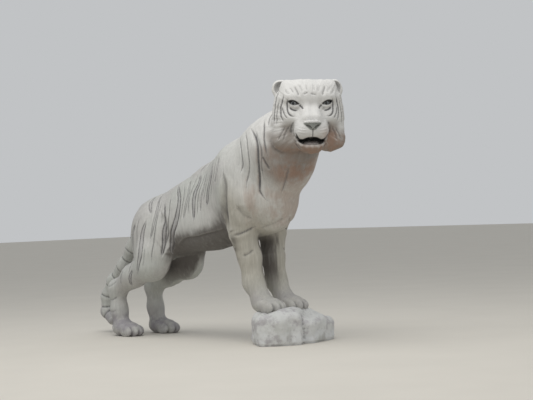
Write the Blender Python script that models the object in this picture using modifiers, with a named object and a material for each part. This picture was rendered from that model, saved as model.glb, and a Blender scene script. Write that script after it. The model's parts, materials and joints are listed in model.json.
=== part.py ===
"""A tiger statue in cast stone, standing with both forepaws on a low rock.

The tiger faces +X, its left is +Y and +Z is up. Its rump is low, its chest is high and
its head is turned to its right. The body is a set of named masses, ellipsoids and tapered
limbs, that run smoothly into each other. The masses are laid out in the sizes of a living
tiger, and the whole statue is then grown by GROWTH. Thin saw cuts part the body where its
parts are named. The statue's own floor is at z = 0.
"""

import math

import bmesh
import bpy
import numpy as np
from mathutils import Matrix, Vector

# The statue is this many times the size of a living tiger.
GROWTH = 1.5

# Everything below is in metres on a living tiger.
ROCK_TOP = 0.168
SAW = 0.0004
# The legs stand this far out from the middle; the left hind leg stands a step ahead.
STANCE_FORE = 0.089
STANCE_HIND = 0.125
HIND_STEP = 0.050
FOREPAW_X = 0.414
HINDPAW_X = -0.780
# Four toes to a paw, the outer ones set back a little.
TOES = 4
TOE_SPREAD_FORE = 0.034
TOE_SPREAD_HIND = 0.033
TOE_STAGGER = 0.012
# Cutting blocks are this long, breadth and height, so that they pass right through.
SLAB = (4.0, 4.0, 0.3)

# The head's own frame starts midway between the eyes.
EYES_AT = (0.9045, -0.0905, 1.305)
HEAD_YAW = math.radians(-40.0)
HEAD_PITCH = math.radians(-4.0)
HEAD_TILT = math.radians(-1.0)
EYE_OUT = 0.080
EYE_BACK = 0.006
EYE_RADIUS = 0.034

# Fineness: the first skin's cell, and the triangles that are kept. The second thinning
# leaves the head alone, out to HEAD_REACH from its middle.
CELL = 0.0085
FIRST_TRIANGLES = 17000
BODY_TRIANGLES = 5450
ROCK_TRIANGLES = 420
HEAD_REACH = 0.26
HEAD_MIDDLE_BELOW_EYES = 0.06
EYE_SEGMENTS = 12
EYE_RINGS = 8

# The field is measured out to OPEN_AIR, and its slope over SLOPE_STEP.
OPEN_AIR = 0.2
SLOPE_STEP = 0.0005
LONGEST_MOVE = 0.02

SIDES = ((-1, "right"), (1, "left"))

STONE = {
    "pale": (0.66, 0.65, 0.62, 1.0),
    "flank": (0.50, 0.50, 0.46, 1.0),
    "leg": (0.48, 0.46, 0.40, 1.0),
    "eye": (0.20, 0.20, 0.19, 1.0),
    "rock": (0.47, 0.47, 0.47, 1.0),
}


class Mass:
    """One rounded mass of the body, with how softly it joins what is there already."""

    # A point this much further off than the blend is left as it is.
    margin = 0.03

    def __init__(self, blend):
        self.blend = blend

    def near(self, points):
        """The points that this mass can reach, as an index."""
        low, high = self.box()
        reach = self.blend + self.margin
        inside = (points > low - reach) & (points < high + reach)
        return np.nonzero(inside.all(axis=1))[0]


class Ellipsoid(Mass):
    """A ball with three radii, turned about its own centre."""

    def __init__(self, centre, radii, blend=0.04, frame=None):
        super().__init__(blend)
        self.centre = np.array(centre, dtype=float)
        self.radii = np.array(radii, dtype=float)
        self.frame = np.eye(3) if frame is None else np.array(frame, dtype=float)

    def box(self):
        """The low and high corners that hold the ball."""
        reach = np.abs(self.frame) @ self.radii
        return self.centre - reach, self.centre + reach

    def distance(self, points):
        """How far each point is outside the ball, close to its surface."""
        local = (points - self.centre) @ self.frame
        near = np.linalg.norm(local / self.radii, axis=1)
        steep = np.linalg.norm(local / self.radii**2, axis=1)
        return near * (near - 1.0) / np.maximum(steep, 1e-9)

    def add_to(self, mesh):
        """Add a closed ball of this mass to a bmesh."""
        spread = Matrix.Diagonal(Vector(self.radii)).to_4x4()
        place = Matrix.Translation(Vector(self.centre)) @ Matrix(self.frame.tolist()).to_4x4()
        bmesh.ops.create_icosphere(mesh, subdivisions=3, radius=1.0, matrix=place @ spread)


class Limb(Mass):
    """A round bar that tapers from one radius to another, with round ends."""

    def __init__(self, start, end, thick, thin, blend=0.04):
        super().__init__(blend)
        self.start = np.array(start, dtype=float)
        self.end = np.array(end, dtype=float)
        self.thick = thick
        self.thin = thin

    def box(self):
        """The low and high corners that hold the limb."""
        low = np.minimum(self.start - self.thick, self.end - self.thin)
        high = np.maximum(self.start + self.thick, self.end + self.thin)
        return low, high

    def distance(self, points):
        """How far each point is outside the limb."""
        along = self.end - self.start
        share = np.clip((points - self.start) @ along / (along @ along), 0.0, 1.0)
        axis = self.start + share[:, None] * along
        radius = self.thick + (self.thin - self.thick) * share
        return np.linalg.norm(points - axis, axis=1) - radius

    def add_to(self, mesh):
        """Add the limb to a bmesh as a row of balls."""
        along = self.end - self.start
        count = 2 + int(np.linalg.norm(along) / (0.4 * min(self.thick, self.thin)))
        for share in np.linspace(0.0, 1.0, count):
            radius = self.thick + (self.thin - self.thick) * share
            place = Matrix.Translation(Vector(self.start + share * along))
            bmesh.ops.create_icosphere(mesh, subdivisions=2, radius=radius, matrix=place)


class Boulder(Mass):
    """An upright block with rounded edges, turned about the vertical."""

    def __init__(self, centre, half, edge, turn, blend=0.03):
        super().__init__(blend)
        self.centre = np.array(centre, dtype=float)
        self.half = np.array(half, dtype=float)
        self.edge = edge
        self.frame = turned(about_z=turn)

    def box(self):
        """The low and high corners that hold the block."""
        reach = np.abs(self.frame) @ self.half
        return self.centre - reach, self.centre + reach

    def distance(self, points):
        """How far each point is outside the rounded block."""
        local = np.abs((points - self.centre) @ self.frame) - (self.half - self.edge)
        outside = np.linalg.norm(np.maximum(local, 0.0), axis=1)
        return outside + np.minimum(local.max(axis=1), 0.0) - self.edge

    def add_to(self, mesh):
        """Add the block to a bmesh with square edges."""
        spread = Matrix.Diagonal(Vector(self.half * 2.0)).to_4x4()
        place = Matrix.Translation(Vector(self.centre)) @ Matrix(self.frame.tolist()).to_4x4()
        bmesh.ops.create_cube(mesh, size=1.0, matrix=place @ spread)


def turned(about_x=0.0, about_y=0.0, about_z=0.0):
    """A frame turned by these degrees, in the order x, y, z."""
    spin = Matrix.Rotation(math.radians(about_z), 3, "Z")
    spin = spin @ Matrix.Rotation(math.radians(about_y), 3, "Y")
    spin = spin @ Matrix.Rotation(math.radians(about_x), 3, "X")
    return np.array(spin)


def chain(stations, blend=0.03):
    """Limbs through a row of stations, each a point and its radius."""
    return [
        Limb(first[:3], second[:3], first[3], second[3], blend)
        for first, second in zip(stations, stations[1:])
    ]


# ---------------------------------------------------------------- the masses of the body


def trunk_masses():
    """Chest, ribs, loin and pelvis, on a back that climbs towards the shoulders."""
    slope = turned(about_y=-20.0)
    return [
        Ellipsoid((-0.50, 0.0, 0.660), (0.180, 0.140, 0.182), 0.08, turned(about_y=10.0)),
        Ellipsoid((-0.26, 0.0, 0.715), (0.36, 0.160, 0.200), 0.10, slope),
        Ellipsoid((0.06, 0.0, 0.770), (0.33, 0.180, 0.238), 0.12, slope),
        Ellipsoid((0.32, 0.0, 0.840), (0.24, 0.190, 0.255), 0.12, slope),
        Ellipsoid((0.50, 0.0, 0.815), (0.145, 0.155, 0.170), 0.08),
        Ellipsoid((0.47, 0.0, 0.700), (0.12, 0.085, 0.080), 0.05),
        Limb((0.00, 0.0, 0.950), (0.22, 0.0, 1.020), 0.060, 0.065, 0.10),
        Ellipsoid((0.02, -0.085, 0.665), (0.27, 0.090, 0.105), 0.05, turned(about_y=-10.0)),
        Ellipsoid((0.02, 0.085, 0.665), (0.27, 0.090, 0.105), 0.05, turned(about_y=-10.0)),
    ]


def neck_masses():
    """A short, very thick neck, with a full throat."""
    return [
        Limb((0.33, 0.0, 0.955), (0.56, 0.0, 1.070), 0.200, 0.200, 0.10),
        Limb((0.56, 0.0, 1.070), (0.72, 0.0, 1.190), 0.200, 0.165, 0.05),
        Ellipsoid((0.66, 0.0, 0.990), (0.11, 0.130, 0.170), 0.06, turned(about_y=25.0)),
    ]


def toe_places(spread):
    """How far each toe of a paw is to the side, and how far back."""
    middle = (TOES - 1) / 2.0
    return [((toe - middle) * spread, TOE_STAGGER * (toe - middle) ** 2) for toe in range(TOES)]


def foreleg_masses(side):
    """Shoulder blade, upper arm, forearm and paw of one side, +1 on the left."""
    out = side * STANCE_FORE
    knee = FOREPAW_X
    blade = turned(about_y=25.0)
    masses = [
        Ellipsoid((0.36, side * 0.120, 0.880), (0.115, 0.084, 0.190), 0.07, blade),
        Limb((0.43, side * 0.125, 0.800), (0.37, side * 0.122, 0.650), 0.098, 0.080, 0.08),
        *chain(
            [
                (0.370, side * 0.117, 0.610, 0.078),
                (0.392, out, 0.480, 0.065),
                (knee, out, 0.340, 0.058),
                (knee + 0.045, out, 0.265, 0.055),
            ],
            0.03,
        ),
        Ellipsoid((knee + 0.105, out, 0.212), (0.100, 0.066, 0.048), 0.04),
    ]
    for sideways, back in toe_places(TOE_SPREAD_FORE):
        tip = (knee + 0.175 - back, out + sideways, 0.200)
        masses.append(Ellipsoid(tip, (0.052, 0.019, 0.035), 0.012))
    return masses


def hindleg_masses(side):
    """Thigh, lower thigh, hock, shank and paw of one side, +1 on the left."""
    out = side * STANCE_HIND
    step = HIND_STEP if side > 0 else 0.0
    heel = HINDPAW_X + step
    masses = [
        Ellipsoid((-0.445 + step, side * 0.105, 0.580), (0.180, 0.082, 0.220), 0.08),
        Limb((-0.44 + step, out, 0.500), (-0.43 + step, out, 0.440), 0.086, 0.080, 0.06),
        *chain(
            [
                (-0.46 + step, out, 0.425, 0.080),
                (-0.62 + step, out, 0.370, 0.066),
                (heel - 0.005, out, 0.290, 0.050),
                (heel + 0.005, out, 0.160, 0.045),
                (heel + 0.025, out, 0.070, 0.048),
            ],
            0.05,
        ),
        Ellipsoid((heel + 0.075, out, 0.042), (0.115, 0.062, 0.048), 0.04),
    ]
    for sideways, back in toe_places(TOE_SPREAD_HIND):
        tip = (heel + 0.152 - back, out + sideways, 0.030)
        masses.append(Ellipsoid(tip, (0.050, 0.018, 0.034), 0.012))
    return masses


def tail_masses():
    """The tail leaves the rump, hangs away from the legs and curls at its end."""
    stations = [
        (-0.600, 0.000, 0.755, 0.062),
        (-0.690, 0.000, 0.660, 0.048),
        (-0.775, 0.000, 0.540, 0.041),
        (-0.875, 0.000, 0.425, 0.039),
        (-0.980, 0.000, 0.330, 0.039),
        (-1.050, 0.000, 0.230, 0.040),
        (-1.050, -0.005, 0.135, 0.039),
        (-0.985, -0.020, 0.082, 0.032),
    ]
    return chain(stations, 0.04)


class Head:
    """The head's own frame: ahead along the face, out to the tiger's left, and up."""

    def __init__(self):
        spin = Matrix.Rotation(HEAD_YAW, 3, "Z")
        spin = spin @ Matrix.Rotation(-HEAD_PITCH, 3, "Y")
        spin = spin @ Matrix.Rotation(HEAD_TILT, 3, "X")
        self.frame = np.array(spin)
        self.origin = np.array(EYES_AT)

    def point(self, ahead, out, up):
        """A place in the head's frame, in the statue's."""
        return self.origin + self.frame @ np.array((ahead, out, up))

    def ball(self, centre, radii, blend, turn=None):
        """An ellipsoid laid out in the head's frame."""
        frame = self.frame if turn is None else self.frame @ turn
        return Ellipsoid(self.point(*centre), radii, blend, frame)

    def bar(self, start, end, thick, thin, blend):
        """A limb laid out in the head's frame."""
        return Limb(self.point(*start), self.point(*end), thick, thin, blend)


def skull_masses(head):
    """Skull, muzzle, cheeks, chin and brows."""
    masses = [
        head.ball((-0.120, 0.0, 0.000), (0.160, 0.150, 0.132), 0.05),
        head.ball((-0.035, 0.0, 0.045), (0.090, 0.120, 0.074), 0.05),
        head.ball((0.118, 0.0, -0.140), (0.038, 0.046, 0.046), 0.03),
        head.ball((0.136, 0.0, -0.116), (0.026, 0.047, 0.022), 0.015),
        head.ball((0.062, 0.0, -0.232), (0.060, 0.050, 0.027), 0.03),
    ]
    for side in (-1, 1):
        masses += [
            head.ball((-0.090, side * 0.112, -0.085), (0.100, 0.086, 0.150), 0.04),
            head.ball((-0.080, side * 0.100, 0.020), (0.092, 0.072, 0.080), 0.05),
            head.ball((-0.070, side * 0.125, -0.185), (0.080, 0.062, 0.068), 0.04),
            head.ball((-0.070, side * 0.165, -0.200), (0.050, 0.030, 0.036), 0.04),
            head.bar((-0.05, side * 0.080, -0.188), (0.05, side * 0.025, -0.224), 0.06, 0.034, 0.05),
            head.bar((-0.012, side * 0.024, -0.003), (0.105, side * 0.022, -0.086), 0.040, 0.034, 0.03),
            head.bar((-0.020, side * 0.040, -0.050), (0.075, side * 0.048, -0.120), 0.048, 0.044, 0.04),
            head.ball((0.066, side * 0.050, -0.148), (0.076, 0.046, 0.044), 0.035),
            head.ball((-0.060, side * 0.075, 0.068), (0.070, 0.056, 0.050), 0.04),
            head.ball((0.010, side * 0.082, 0.040), (0.042, 0.050, 0.025), 0.03),
            head.ball((0.000, side * 0.104, -0.062), (0.054, 0.044, 0.046), 0.04),
        ]
    return masses


def skull_hollows(head):
    """The open mouth and the beds of the eyes."""
    hollows = [head.ball((0.106, -0.004, -0.199), (0.070, 0.050, 0.016), 0.012)]
    for side in (-1, 1):
        lip = head.bar((0.11, side * 0.03, -0.201), (0.05, side * 0.078, -0.176), 0.013, 0.006, 0.01)
        bed = turned(about_z=side * 14.0)
        eye = head.ball((0.058, side * EYE_OUT, -0.003), (0.031, 0.031, 0.015), 0.014, bed)
        hollows += [lip, eye]
    return hollows


def ear_masses(head, side):
    """One small round ear, a thick disc that faces forwards and a little outwards."""
    lean = turned(about_z=side * 20.0, about_y=-10.0)
    return [head.ball((-0.110, side * 0.147, 0.082), (0.024, 0.050, 0.052), 0.02, lean)]


def ear_hollow(head, side):
    """The bowl in the front of an ear."""
    lean = turned(about_z=side * 20.0, about_y=-10.0)
    return head.ball((-0.084, side * 0.156, 0.090), (0.024, 0.034, 0.036), 0.008, lean)


def rock_masses():
    """Three blocks run together: one under the forepaws, a near corner and a low far end."""
    return [
        Boulder((0.560, 0.010, 0.080), (0.105, 0.150, 0.100), 0.035, 5.0),
        Boulder((0.602, -0.100, 0.072), (0.122, 0.125, 0.100), 0.035, -35.0),
        Boulder((0.580, 0.110, 0.055), (0.150, 0.150, 0.080), 0.040, 15.0),
    ]


# ---------------------------------------------------------------- smooth joining


def soft_low(first, second, blend):
    """The lower of two fields, rounded where they meet."""
    close = np.maximum(blend - np.abs(first - second), 0.0) / blend
    return np.minimum(first, second) - close * close * blend * 0.25


def field(points, masses, hollows):
    """Distance outside the body, negative inside it."""
    out = np.full(len(points), OPEN_AIR)
    for mass in masses:
        near = mass.near(points)
        if len(near):
            out[near] = soft_low(out[near], mass.distance(points[near]), mass.blend)
    for hollow in hollows:
        near = hollow.near(points)
        if len(near):
            out[near] = -soft_low(-out[near], hollow.distance(points[near]), hollow.blend)
    return out


def settle(points, masses, hollows, rounds=5):
    """Move points onto the body's surface along the field's slope."""
    points = points.copy()
    for _ in range(rounds):
        here = field(points, masses, hollows)
        slope = np.empty_like(points)
        for axis in range(3):
            aside = points.copy()
            aside[:, axis] += SLOPE_STEP
            slope[:, axis] = (field(aside, masses, hollows) - here) / SLOPE_STEP
        steep = np.maximum((slope * slope).sum(axis=1), 0.25)
        move = np.clip(-here / steep, -LONGEST_MOVE, LONGEST_MOVE)
        points += move[:, None] * slope
    return points


# ---------------------------------------------------------------- Blender objects


def clear_scene():
    """Remove what a new scene holds."""
    for ob in list(bpy.data.objects):
        bpy.data.objects.remove(ob, do_unlink=True)


def new_collection(name):
    """A collection, linked to the scene."""
    group = bpy.data.collections.new(name)
    bpy.context.scene.collection.children.link(group)
    return group


def stone(name, colour, roughness=0.85):
    """A dry stone finish."""
    material = bpy.data.materials.new(name)
    material.use_nodes = True
    shader = material.node_tree.nodes["Principled BSDF"]
    shader.inputs["Base Color"].default_value = colour
    shader.inputs["Roughness"].default_value = roughness
    shader.inputs["Metallic"].default_value = 0.0
    return material


def new_object(name, mesh, group):
    """An object that shows a mesh, in a collection."""
    ob = bpy.data.objects.new(name, mesh)
    group.objects.link(ob)
    return ob


def apply_modifiers(ob):
    """Replace an object's mesh by its evaluated one, and drop the modifiers."""
    graph = bpy.context.evaluated_depsgraph_get()
    mesh = bpy.data.meshes.new_from_object(ob.evaluated_get(graph))
    ob.modifiers.clear()
    ob.data = mesh


def positions(ob):
    """The places of an object's vertices, as an array."""
    flat = np.empty(len(ob.data.vertices) * 3)
    ob.data.vertices.foreach_get("co", flat)
    return flat.reshape(-1, 3)


def place(ob, points):
    """Move an object's vertices to these places."""
    ob.data.vertices.foreach_set("co", points.ravel())
    ob.data.update()


def remesh(ob, cell):
    """One even closed skin round all that the object holds."""
    modifier = ob.modifiers.new("Skin", "REMESH")
    modifier.mode = "VOXEL"
    modifier.voxel_size = cell
    apply_modifiers(ob)


def sculpt(name, masses, hollows, cell, group):
    """A fine closed skin on a set of masses."""
    form = bmesh.new()
    for mass in masses:
        mass.add_to(form)
    mesh = bpy.data.meshes.new(name)
    form.to_mesh(mesh)
    form.free()
    ob = new_object(name, mesh, group)
    for _ in range(2):
        remesh(ob, cell)
        place(ob, settle(positions(ob), masses, hollows))
    return ob


def thin_out(ob, triangles, coarse=None):
    """Decimate to a number of triangles, only among the coarse vertices if they are given."""
    faces = sum(len(face.vertices) - 2 for face in ob.data.polygons)
    modifier = ob.modifiers.new("Thin", "DECIMATE")
    modifier.ratio = triangles / faces
    modifier.use_collapse_triangulate = True
    if coarse is not None:
        group = ob.vertex_groups.new(name="coarse")
        group.add([int(i) for i in np.nonzero(coarse)[0]], 1.0, "REPLACE")
        modifier.vertex_group = group.name
    apply_modifiers(ob)
    ob.vertex_groups.clear()


def as_cutter(name, form, group):
    """A closed form that only cuts, shown as wire and never rendered."""
    bmesh.ops.recalc_face_normals(form, faces=form.faces)
    mesh = bpy.data.meshes.new(name)
    form.to_mesh(mesh)
    form.free()
    ob = new_object(name, mesh, group)
    ob.hide_render = True
    ob.display_type = "WIRE"
    return ob


def prism(name, axis, outline, start, end, group, grow=0.0):
    """An outline in the two other axes, pulled along one axis, each face grown outwards."""
    form = bmesh.new()
    others = [other for other in range(3) if other != axis]
    corners = []
    for first, second in outline:
        spot = [start, start, start]
        spot[others[0]] = first
        spot[others[1]] = second
        corners.append(form.verts.new(spot))
    face = form.faces.new(corners)
    pulled = bmesh.ops.extrude_face_region(form, geom=[face])
    push = Vector((0.0, 0.0, 0.0))
    push[axis] = end - start
    moved = [item for item in pulled["geom"] if isinstance(item, bmesh.types.BMVert)]
    bmesh.ops.translate(form, verts=moved, vec=push)
    return grown_cutter(name, form, group, grow)


def block(name, point, normal, size, group, grow=0.0, sideways=None):
    """A box that stands on a plane: size is its width, breadth and height off the plane."""
    up = Vector(normal).normalized()
    across = Vector(sideways) if sideways is not None else Vector((0.0, 1.0, 0.0))
    across = (across - across.dot(up) * up).normalized()
    ahead = across.cross(up)
    turn = Matrix((ahead, across, up)).transposed().to_4x4()
    lift = Matrix.Translation((0.0, 0.0, size[2] / 2.0))
    form = bmesh.new()
    shape = Matrix.Translation(Vector(point)) @ turn @ lift @ Matrix.Diagonal((*size, 1.0))
    bmesh.ops.create_cube(form, size=1.0, matrix=shape)
    return grown_cutter(name, form, group, grow)


def grown_cutter(name, form, group, grow):
    """Move each face of a closed form outwards by grow."""
    bmesh.ops.recalc_face_normals(form, faces=form.faces)
    form.normal_update()
    moves = [vert.normal * vert.calc_shell_factor() * grow for vert in form.verts]
    for vert, move in zip(form.verts, moves):
        vert.co += move
    return as_cutter(name, form, group)


def ball_mesh(name, centre, radius):
    """A faceted ball."""
    form = bmesh.new()
    where = Matrix.Translation(Vector(centre))
    bmesh.ops.create_uvsphere(
        form, u_segments=EYE_SEGMENTS, v_segments=EYE_RINGS, radius=radius, matrix=where
    )
    mesh = bpy.data.meshes.new(name)
    form.to_mesh(mesh)
    form.free()
    return mesh


def carve(ob, cutter, operation):
    """Apply one exact Boolean."""
    modifier = ob.modifiers.new(cutter.name, "BOOLEAN")
    modifier.operation = operation
    modifier.solver = "EXACT"
    modifier.object = cutter
    apply_modifiers(ob)


def split_off(body, name, shape, group, cutters):
    """Part what lies inside a shape from the body, with a saw cut between them."""
    piece = new_object(name, body.data.copy(), group)
    carve(piece, shape(f"within_{name}", cutters, 0.0), "INTERSECT")
    carve(body, shape(f"around_{name}", cutters, SAW), "DIFFERENCE")
    return piece


def flat_below(ob, height, cutters):
    """Cut an object off level, so that it stands on a flat at this height."""
    low = block(f"floor_of_{ob.name}", (0.0, 0.0, height), (0, 0, -1), SLAB, cutters)
    carve(ob, low, "DIFFERENCE")


# ---------------------------------------------------------------- where the body is parted


def head_shape(name, group, grow):
    """All that is above and ahead of a slanting plane behind the jaws."""
    return block(name, (0.70, 0.01, 1.15), (0.80, -0.22, 0.50), (1.0, 1.0, 0.8), group, grow)


def neck_shape(name, group, grow):
    """All that is above a slanting plane from the withers to the breast."""
    return block(name, (0.45, 0.0, 1.02), (0.70, 0.0, 0.714), (1.0, 0.8, 0.8), group, grow)


def ear_shape(head, side):
    """The ear stands on a sloping plane at the corner of the skull."""
    foot = head.point(-0.112, side * 0.142, 0.068)
    up = head.frame @ np.array((0.0, side * 0.42, 0.91))
    out = head.frame @ np.array((0.0, side * 0.91, -0.42))

    def shape(name, group, grow):
        return block(name, foot, up, (0.13, 0.12, 0.12), group, grow, out)

    return shape


def tail_shape(outline):
    """A slice along the middle of the body, between the two hind legs."""

    def shape(name, group, grow):
        return prism(name, 1, outline, -0.060, 0.060, group, grow)

    return shape


def leg_shape(side, corner, rear, front):
    """One leg under a plane that climbs outwards from between the legs."""
    inner, height, climb = corner
    outer = 0.32
    top = height + climb * (outer - inner)
    outline = [(inner, -0.1), (inner, height), (outer, top), (outer, -0.1)]
    outline = [(side * out, up) for out, up in outline]

    def shape(name, group, grow):
        return prism(name, 0, outline, rear, front, group, grow)

    return shape


def paw_shape(side, outline):
    """What is below a line across the wrist or the shank."""

    def shape(name, group, grow):
        return prism(name, 1, outline, side * 0.002, side * 0.3, group, grow)

    return shape


# Outlines of the cuts seen from the side, as x and z.
TAIL_END = [(-0.80, 0.50), (-1.10, 0.28), (-1.30, 0.28), (-1.30, -0.1), (-0.80, -0.1)]
TAIL_ROOT = [(-0.655, 0.84), (-0.700, 0.60), (-0.74, 0.0), (-1.30, 0.0), (-1.30, 0.84)]
WRIST = [(0.20, 0.175), (1.00, 0.655), (1.00, -0.1), (0.20, -0.1)]
SHANK = [(-1.20, 0.110), (-0.20, 0.110), (-0.20, -0.1), (-1.20, -0.1)]


def part_leg(body, names, shapes, group, cutters):
    """Saw a leg off the body, and its paw off the leg."""
    leg = split_off(body, names[0], shapes[0], group, cutters)
    paw = split_off(leg, names[1], shapes[1], group, cutters)
    return {leg.name: leg, paw.name: paw}


def part_body(body, head, group, cutters):
    """Every named part of the tiger, sawn off in turn; the trunk is what is left."""
    parts = {"head": split_off(body, "head", head_shape, group, cutters)}
    for side, hand in SIDES:
        name = f"ear_{hand}"
        parts[name] = split_off(parts["head"], name, ear_shape(head, side), group, cutters)
    parts["neck"] = split_off(body, "neck", neck_shape, group, cutters)
    parts["tail_end"] = split_off(body, "tail_end", tail_shape(TAIL_END), group, cutters)
    parts["tail_root"] = split_off(body, "tail_root", tail_shape(TAIL_ROOT), group, cutters)
    for side, hand in SIDES:
        step = HIND_STEP if side > 0 else 0.0
        fore = leg_shape(side, (0.004, 0.595, 0.90), 0.27, 1.00)
        hind = leg_shape(side, (0.004, 0.470, 1.10), -1.20, -0.24 + step)
        fore_names = (f"foreleg_{hand}", f"forepaw_{hand}")
        hind_names = (f"hindleg_{hand}", f"hindpaw_{hand}")
        parts.update(part_leg(body, fore_names, (fore, paw_shape(side, WRIST)), group, cutters))
        parts.update(part_leg(body, hind_names, (hind, paw_shape(side, SHANK)), group, cutters))
    body.name = "trunk"
    parts["trunk"] = body
    return parts


# ---------------------------------------------------------------- the whole statue


def tiger_masses(head):
    """All the masses of the tiger, and the hollows in its face."""
    masses = trunk_masses() + neck_masses() + tail_masses()
    hollows = skull_hollows(head)
    for side, _ in SIDES:
        masses += foreleg_masses(side) + hindleg_masses(side)
    masses += skull_masses(head)
    for side, _ in SIDES:
        masses += ear_masses(head, side)
        hollows.append(ear_hollow(head, side))
    return masses, hollows


def make_eyes(parts, head, group, cutters):
    """Two balls bedded in the skull."""
    for side, hand in SIDES:
        centre = head.point(EYE_BACK, side * EYE_OUT, 0.0)
        bed = new_object(f"bed_{hand}", ball_mesh("bed", centre, EYE_RADIUS + SAW), cutters)
        bed.hide_render = True
        bed.display_type = "WIRE"
        carve(parts["head"], bed, "DIFFERENCE")
        name = f"eye_{hand}"
        parts[name] = new_object(name, ball_mesh(name, centre, EYE_RADIUS), group)


def make_rock(group, cutters):
    """The rock, flat below and flat where the forepaws stand."""
    rock = sculpt("rock", rock_masses(), [], CELL, group)
    thin_out(rock, ROCK_TRIANGLES)
    flat_below(rock, 0.0, cutters)
    top = block("top_of_rock", (0.0, 0.0, ROCK_TOP - SAW), (0, 0, 1), SLAB, cutters)
    carve(rock, top, "DIFFERENCE")
    return rock


def grow_and_centre(parts):
    """Grow the statue to its real size, over the middle of its footprint."""
    corners = [positions(ob) for ob in parts.values()]
    low = np.min([places.min(axis=0) for places in corners], axis=0)
    high = np.max([places.max(axis=0) for places in corners], axis=0)
    middle = np.array(((low[0] + high[0]) / 2.0, (low[1] + high[1]) / 2.0, 0.0))
    stand = bpy.data.objects.new("statue_floor", None)
    bpy.data.collections["tiger_statue"].objects.link(stand)
    for ob, places in zip(parts.values(), corners):
        grown = (places - middle) * GROWTH
        centre = (grown.min(axis=0) + grown.max(axis=0)) / 2.0
        place(ob, grown - centre)
        ob.location = centre
        ob.parent = stand


def finish_of(name):
    """The stone that a part is cast in."""
    if name == "rock":
        return "rock"
    if name.startswith("eye"):
        return "eye"
    if name in ("head", "ear_left", "ear_right", "neck"):
        return "pale"
    if name.startswith("fore"):
        return "leg"
    return "flank"


def main():
    """Build the statue from its masses."""
    clear_scene()
    statue = new_collection("tiger_statue")
    cutters = new_collection("cutters")
    head = Head()
    masses, hollows = tiger_masses(head)
    body = sculpt("body", masses, hollows, CELL, statue)
    thin_out(body, FIRST_TRIANGLES)
    head_middle = head.point(0.0, 0.0, -HEAD_MIDDLE_BELOW_EYES)
    away = np.linalg.norm(positions(body) - head_middle, axis=1)
    thin_out(body, BODY_TRIANGLES, away > HEAD_REACH)
    flat_below(body, 0.0, cutters)
    parts = part_body(body, head, statue, cutters)
    for _, hand in SIDES:
        flat_below(parts[f"forepaw_{hand}"], ROCK_TOP, cutters)
    make_eyes(parts, head, statue, cutters)
    parts["rock"] = make_rock(statue, cutters)
    grow_and_centre(parts)
    stones = {name: stone(f"stone_{name}", colour) for name, colour in STONE.items()}
    for name, ob in parts.items():
        ob.data.name = name
        ob.data.materials.clear()
        ob.data.materials.append(stones[finish_of(name)])


if __name__ == "__main__":
    main()
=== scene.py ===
"""The looks of a larger-than-life tiger statue in cast stone.

One carved skin stands for all the parts of the tiger's body. It runs smoothly over the same
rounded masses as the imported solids, laid out in the sizes of a living tiger and then grown.
Eyes, tongue and rock are pieces of their own. The tiger faces +X, its left is +Y, +Z is up.
All sizes are in metres and all angles in degrees.
"""

import json
import logging
import math
from dataclasses import dataclass, field
from enum import Enum
from typing import Any, Callable, Iterable, Sequence

import bmesh
import bpy
import numpy as np
from bmesh.types import BMesh
from bpy.types import Material, Mesh, Object
from mathutils import Matrix, Vector

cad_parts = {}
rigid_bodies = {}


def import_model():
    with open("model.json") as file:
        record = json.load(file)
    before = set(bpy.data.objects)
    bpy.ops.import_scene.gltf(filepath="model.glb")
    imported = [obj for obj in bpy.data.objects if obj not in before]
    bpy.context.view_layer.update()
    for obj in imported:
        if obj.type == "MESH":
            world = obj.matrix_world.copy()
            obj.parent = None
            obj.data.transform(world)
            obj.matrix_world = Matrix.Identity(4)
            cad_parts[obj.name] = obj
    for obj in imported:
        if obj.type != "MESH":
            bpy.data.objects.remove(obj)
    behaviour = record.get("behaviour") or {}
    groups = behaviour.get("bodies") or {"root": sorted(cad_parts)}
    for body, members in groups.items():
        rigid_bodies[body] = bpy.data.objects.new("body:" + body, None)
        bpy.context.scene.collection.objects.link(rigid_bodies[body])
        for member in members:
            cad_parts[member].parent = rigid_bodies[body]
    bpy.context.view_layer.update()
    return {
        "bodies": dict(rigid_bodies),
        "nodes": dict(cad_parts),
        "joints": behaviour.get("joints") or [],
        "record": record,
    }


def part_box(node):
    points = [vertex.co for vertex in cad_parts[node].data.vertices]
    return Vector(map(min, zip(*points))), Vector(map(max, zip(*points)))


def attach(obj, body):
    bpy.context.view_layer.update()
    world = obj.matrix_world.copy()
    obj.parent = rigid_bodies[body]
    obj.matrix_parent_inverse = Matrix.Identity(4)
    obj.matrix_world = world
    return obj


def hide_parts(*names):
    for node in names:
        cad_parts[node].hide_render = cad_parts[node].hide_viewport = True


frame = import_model()

LOG = logging.getLogger("tiger_statue")
Array = np.ndarray
Flat = tuple[float, float]
Point = tuple[float, float, float]
Station = tuple[float, float, float, float]
Colour = tuple[float, float, float]
Row = tuple[Any, ...]
Path = Sequence[Sequence[float]]
SIDES = ((-1, "right"), (1, "left"))

# The stance on a living tiger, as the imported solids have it.
STANCE_FORE = 0.089
STANCE_HIND = 0.125
HIND_STEP = 0.05
FOREPAW_X = 0.414
HINDPAW_X = -0.78
EYES_AT = (0.9045, -0.0905, 1.305)
EYE_OUT = 0.08
EYE_BACK = 0.006

# The field away from every mass, the step its slope is taken over, and how points follow it.
OPEN_AIR = 0.2
SLOPE_STEP = 0.0005
FLATTEST_SLOPE = 0.25
LONGEST_MOVE = 0.02
LANDING_STEPS = 40
LANDING_SHARE = 0.8
LANDING_MOVES = (-0.02, 0.05)
TINY = 1e-9
CUTTER_CELL = 0.0018


# ---------------- rounded masses


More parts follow.
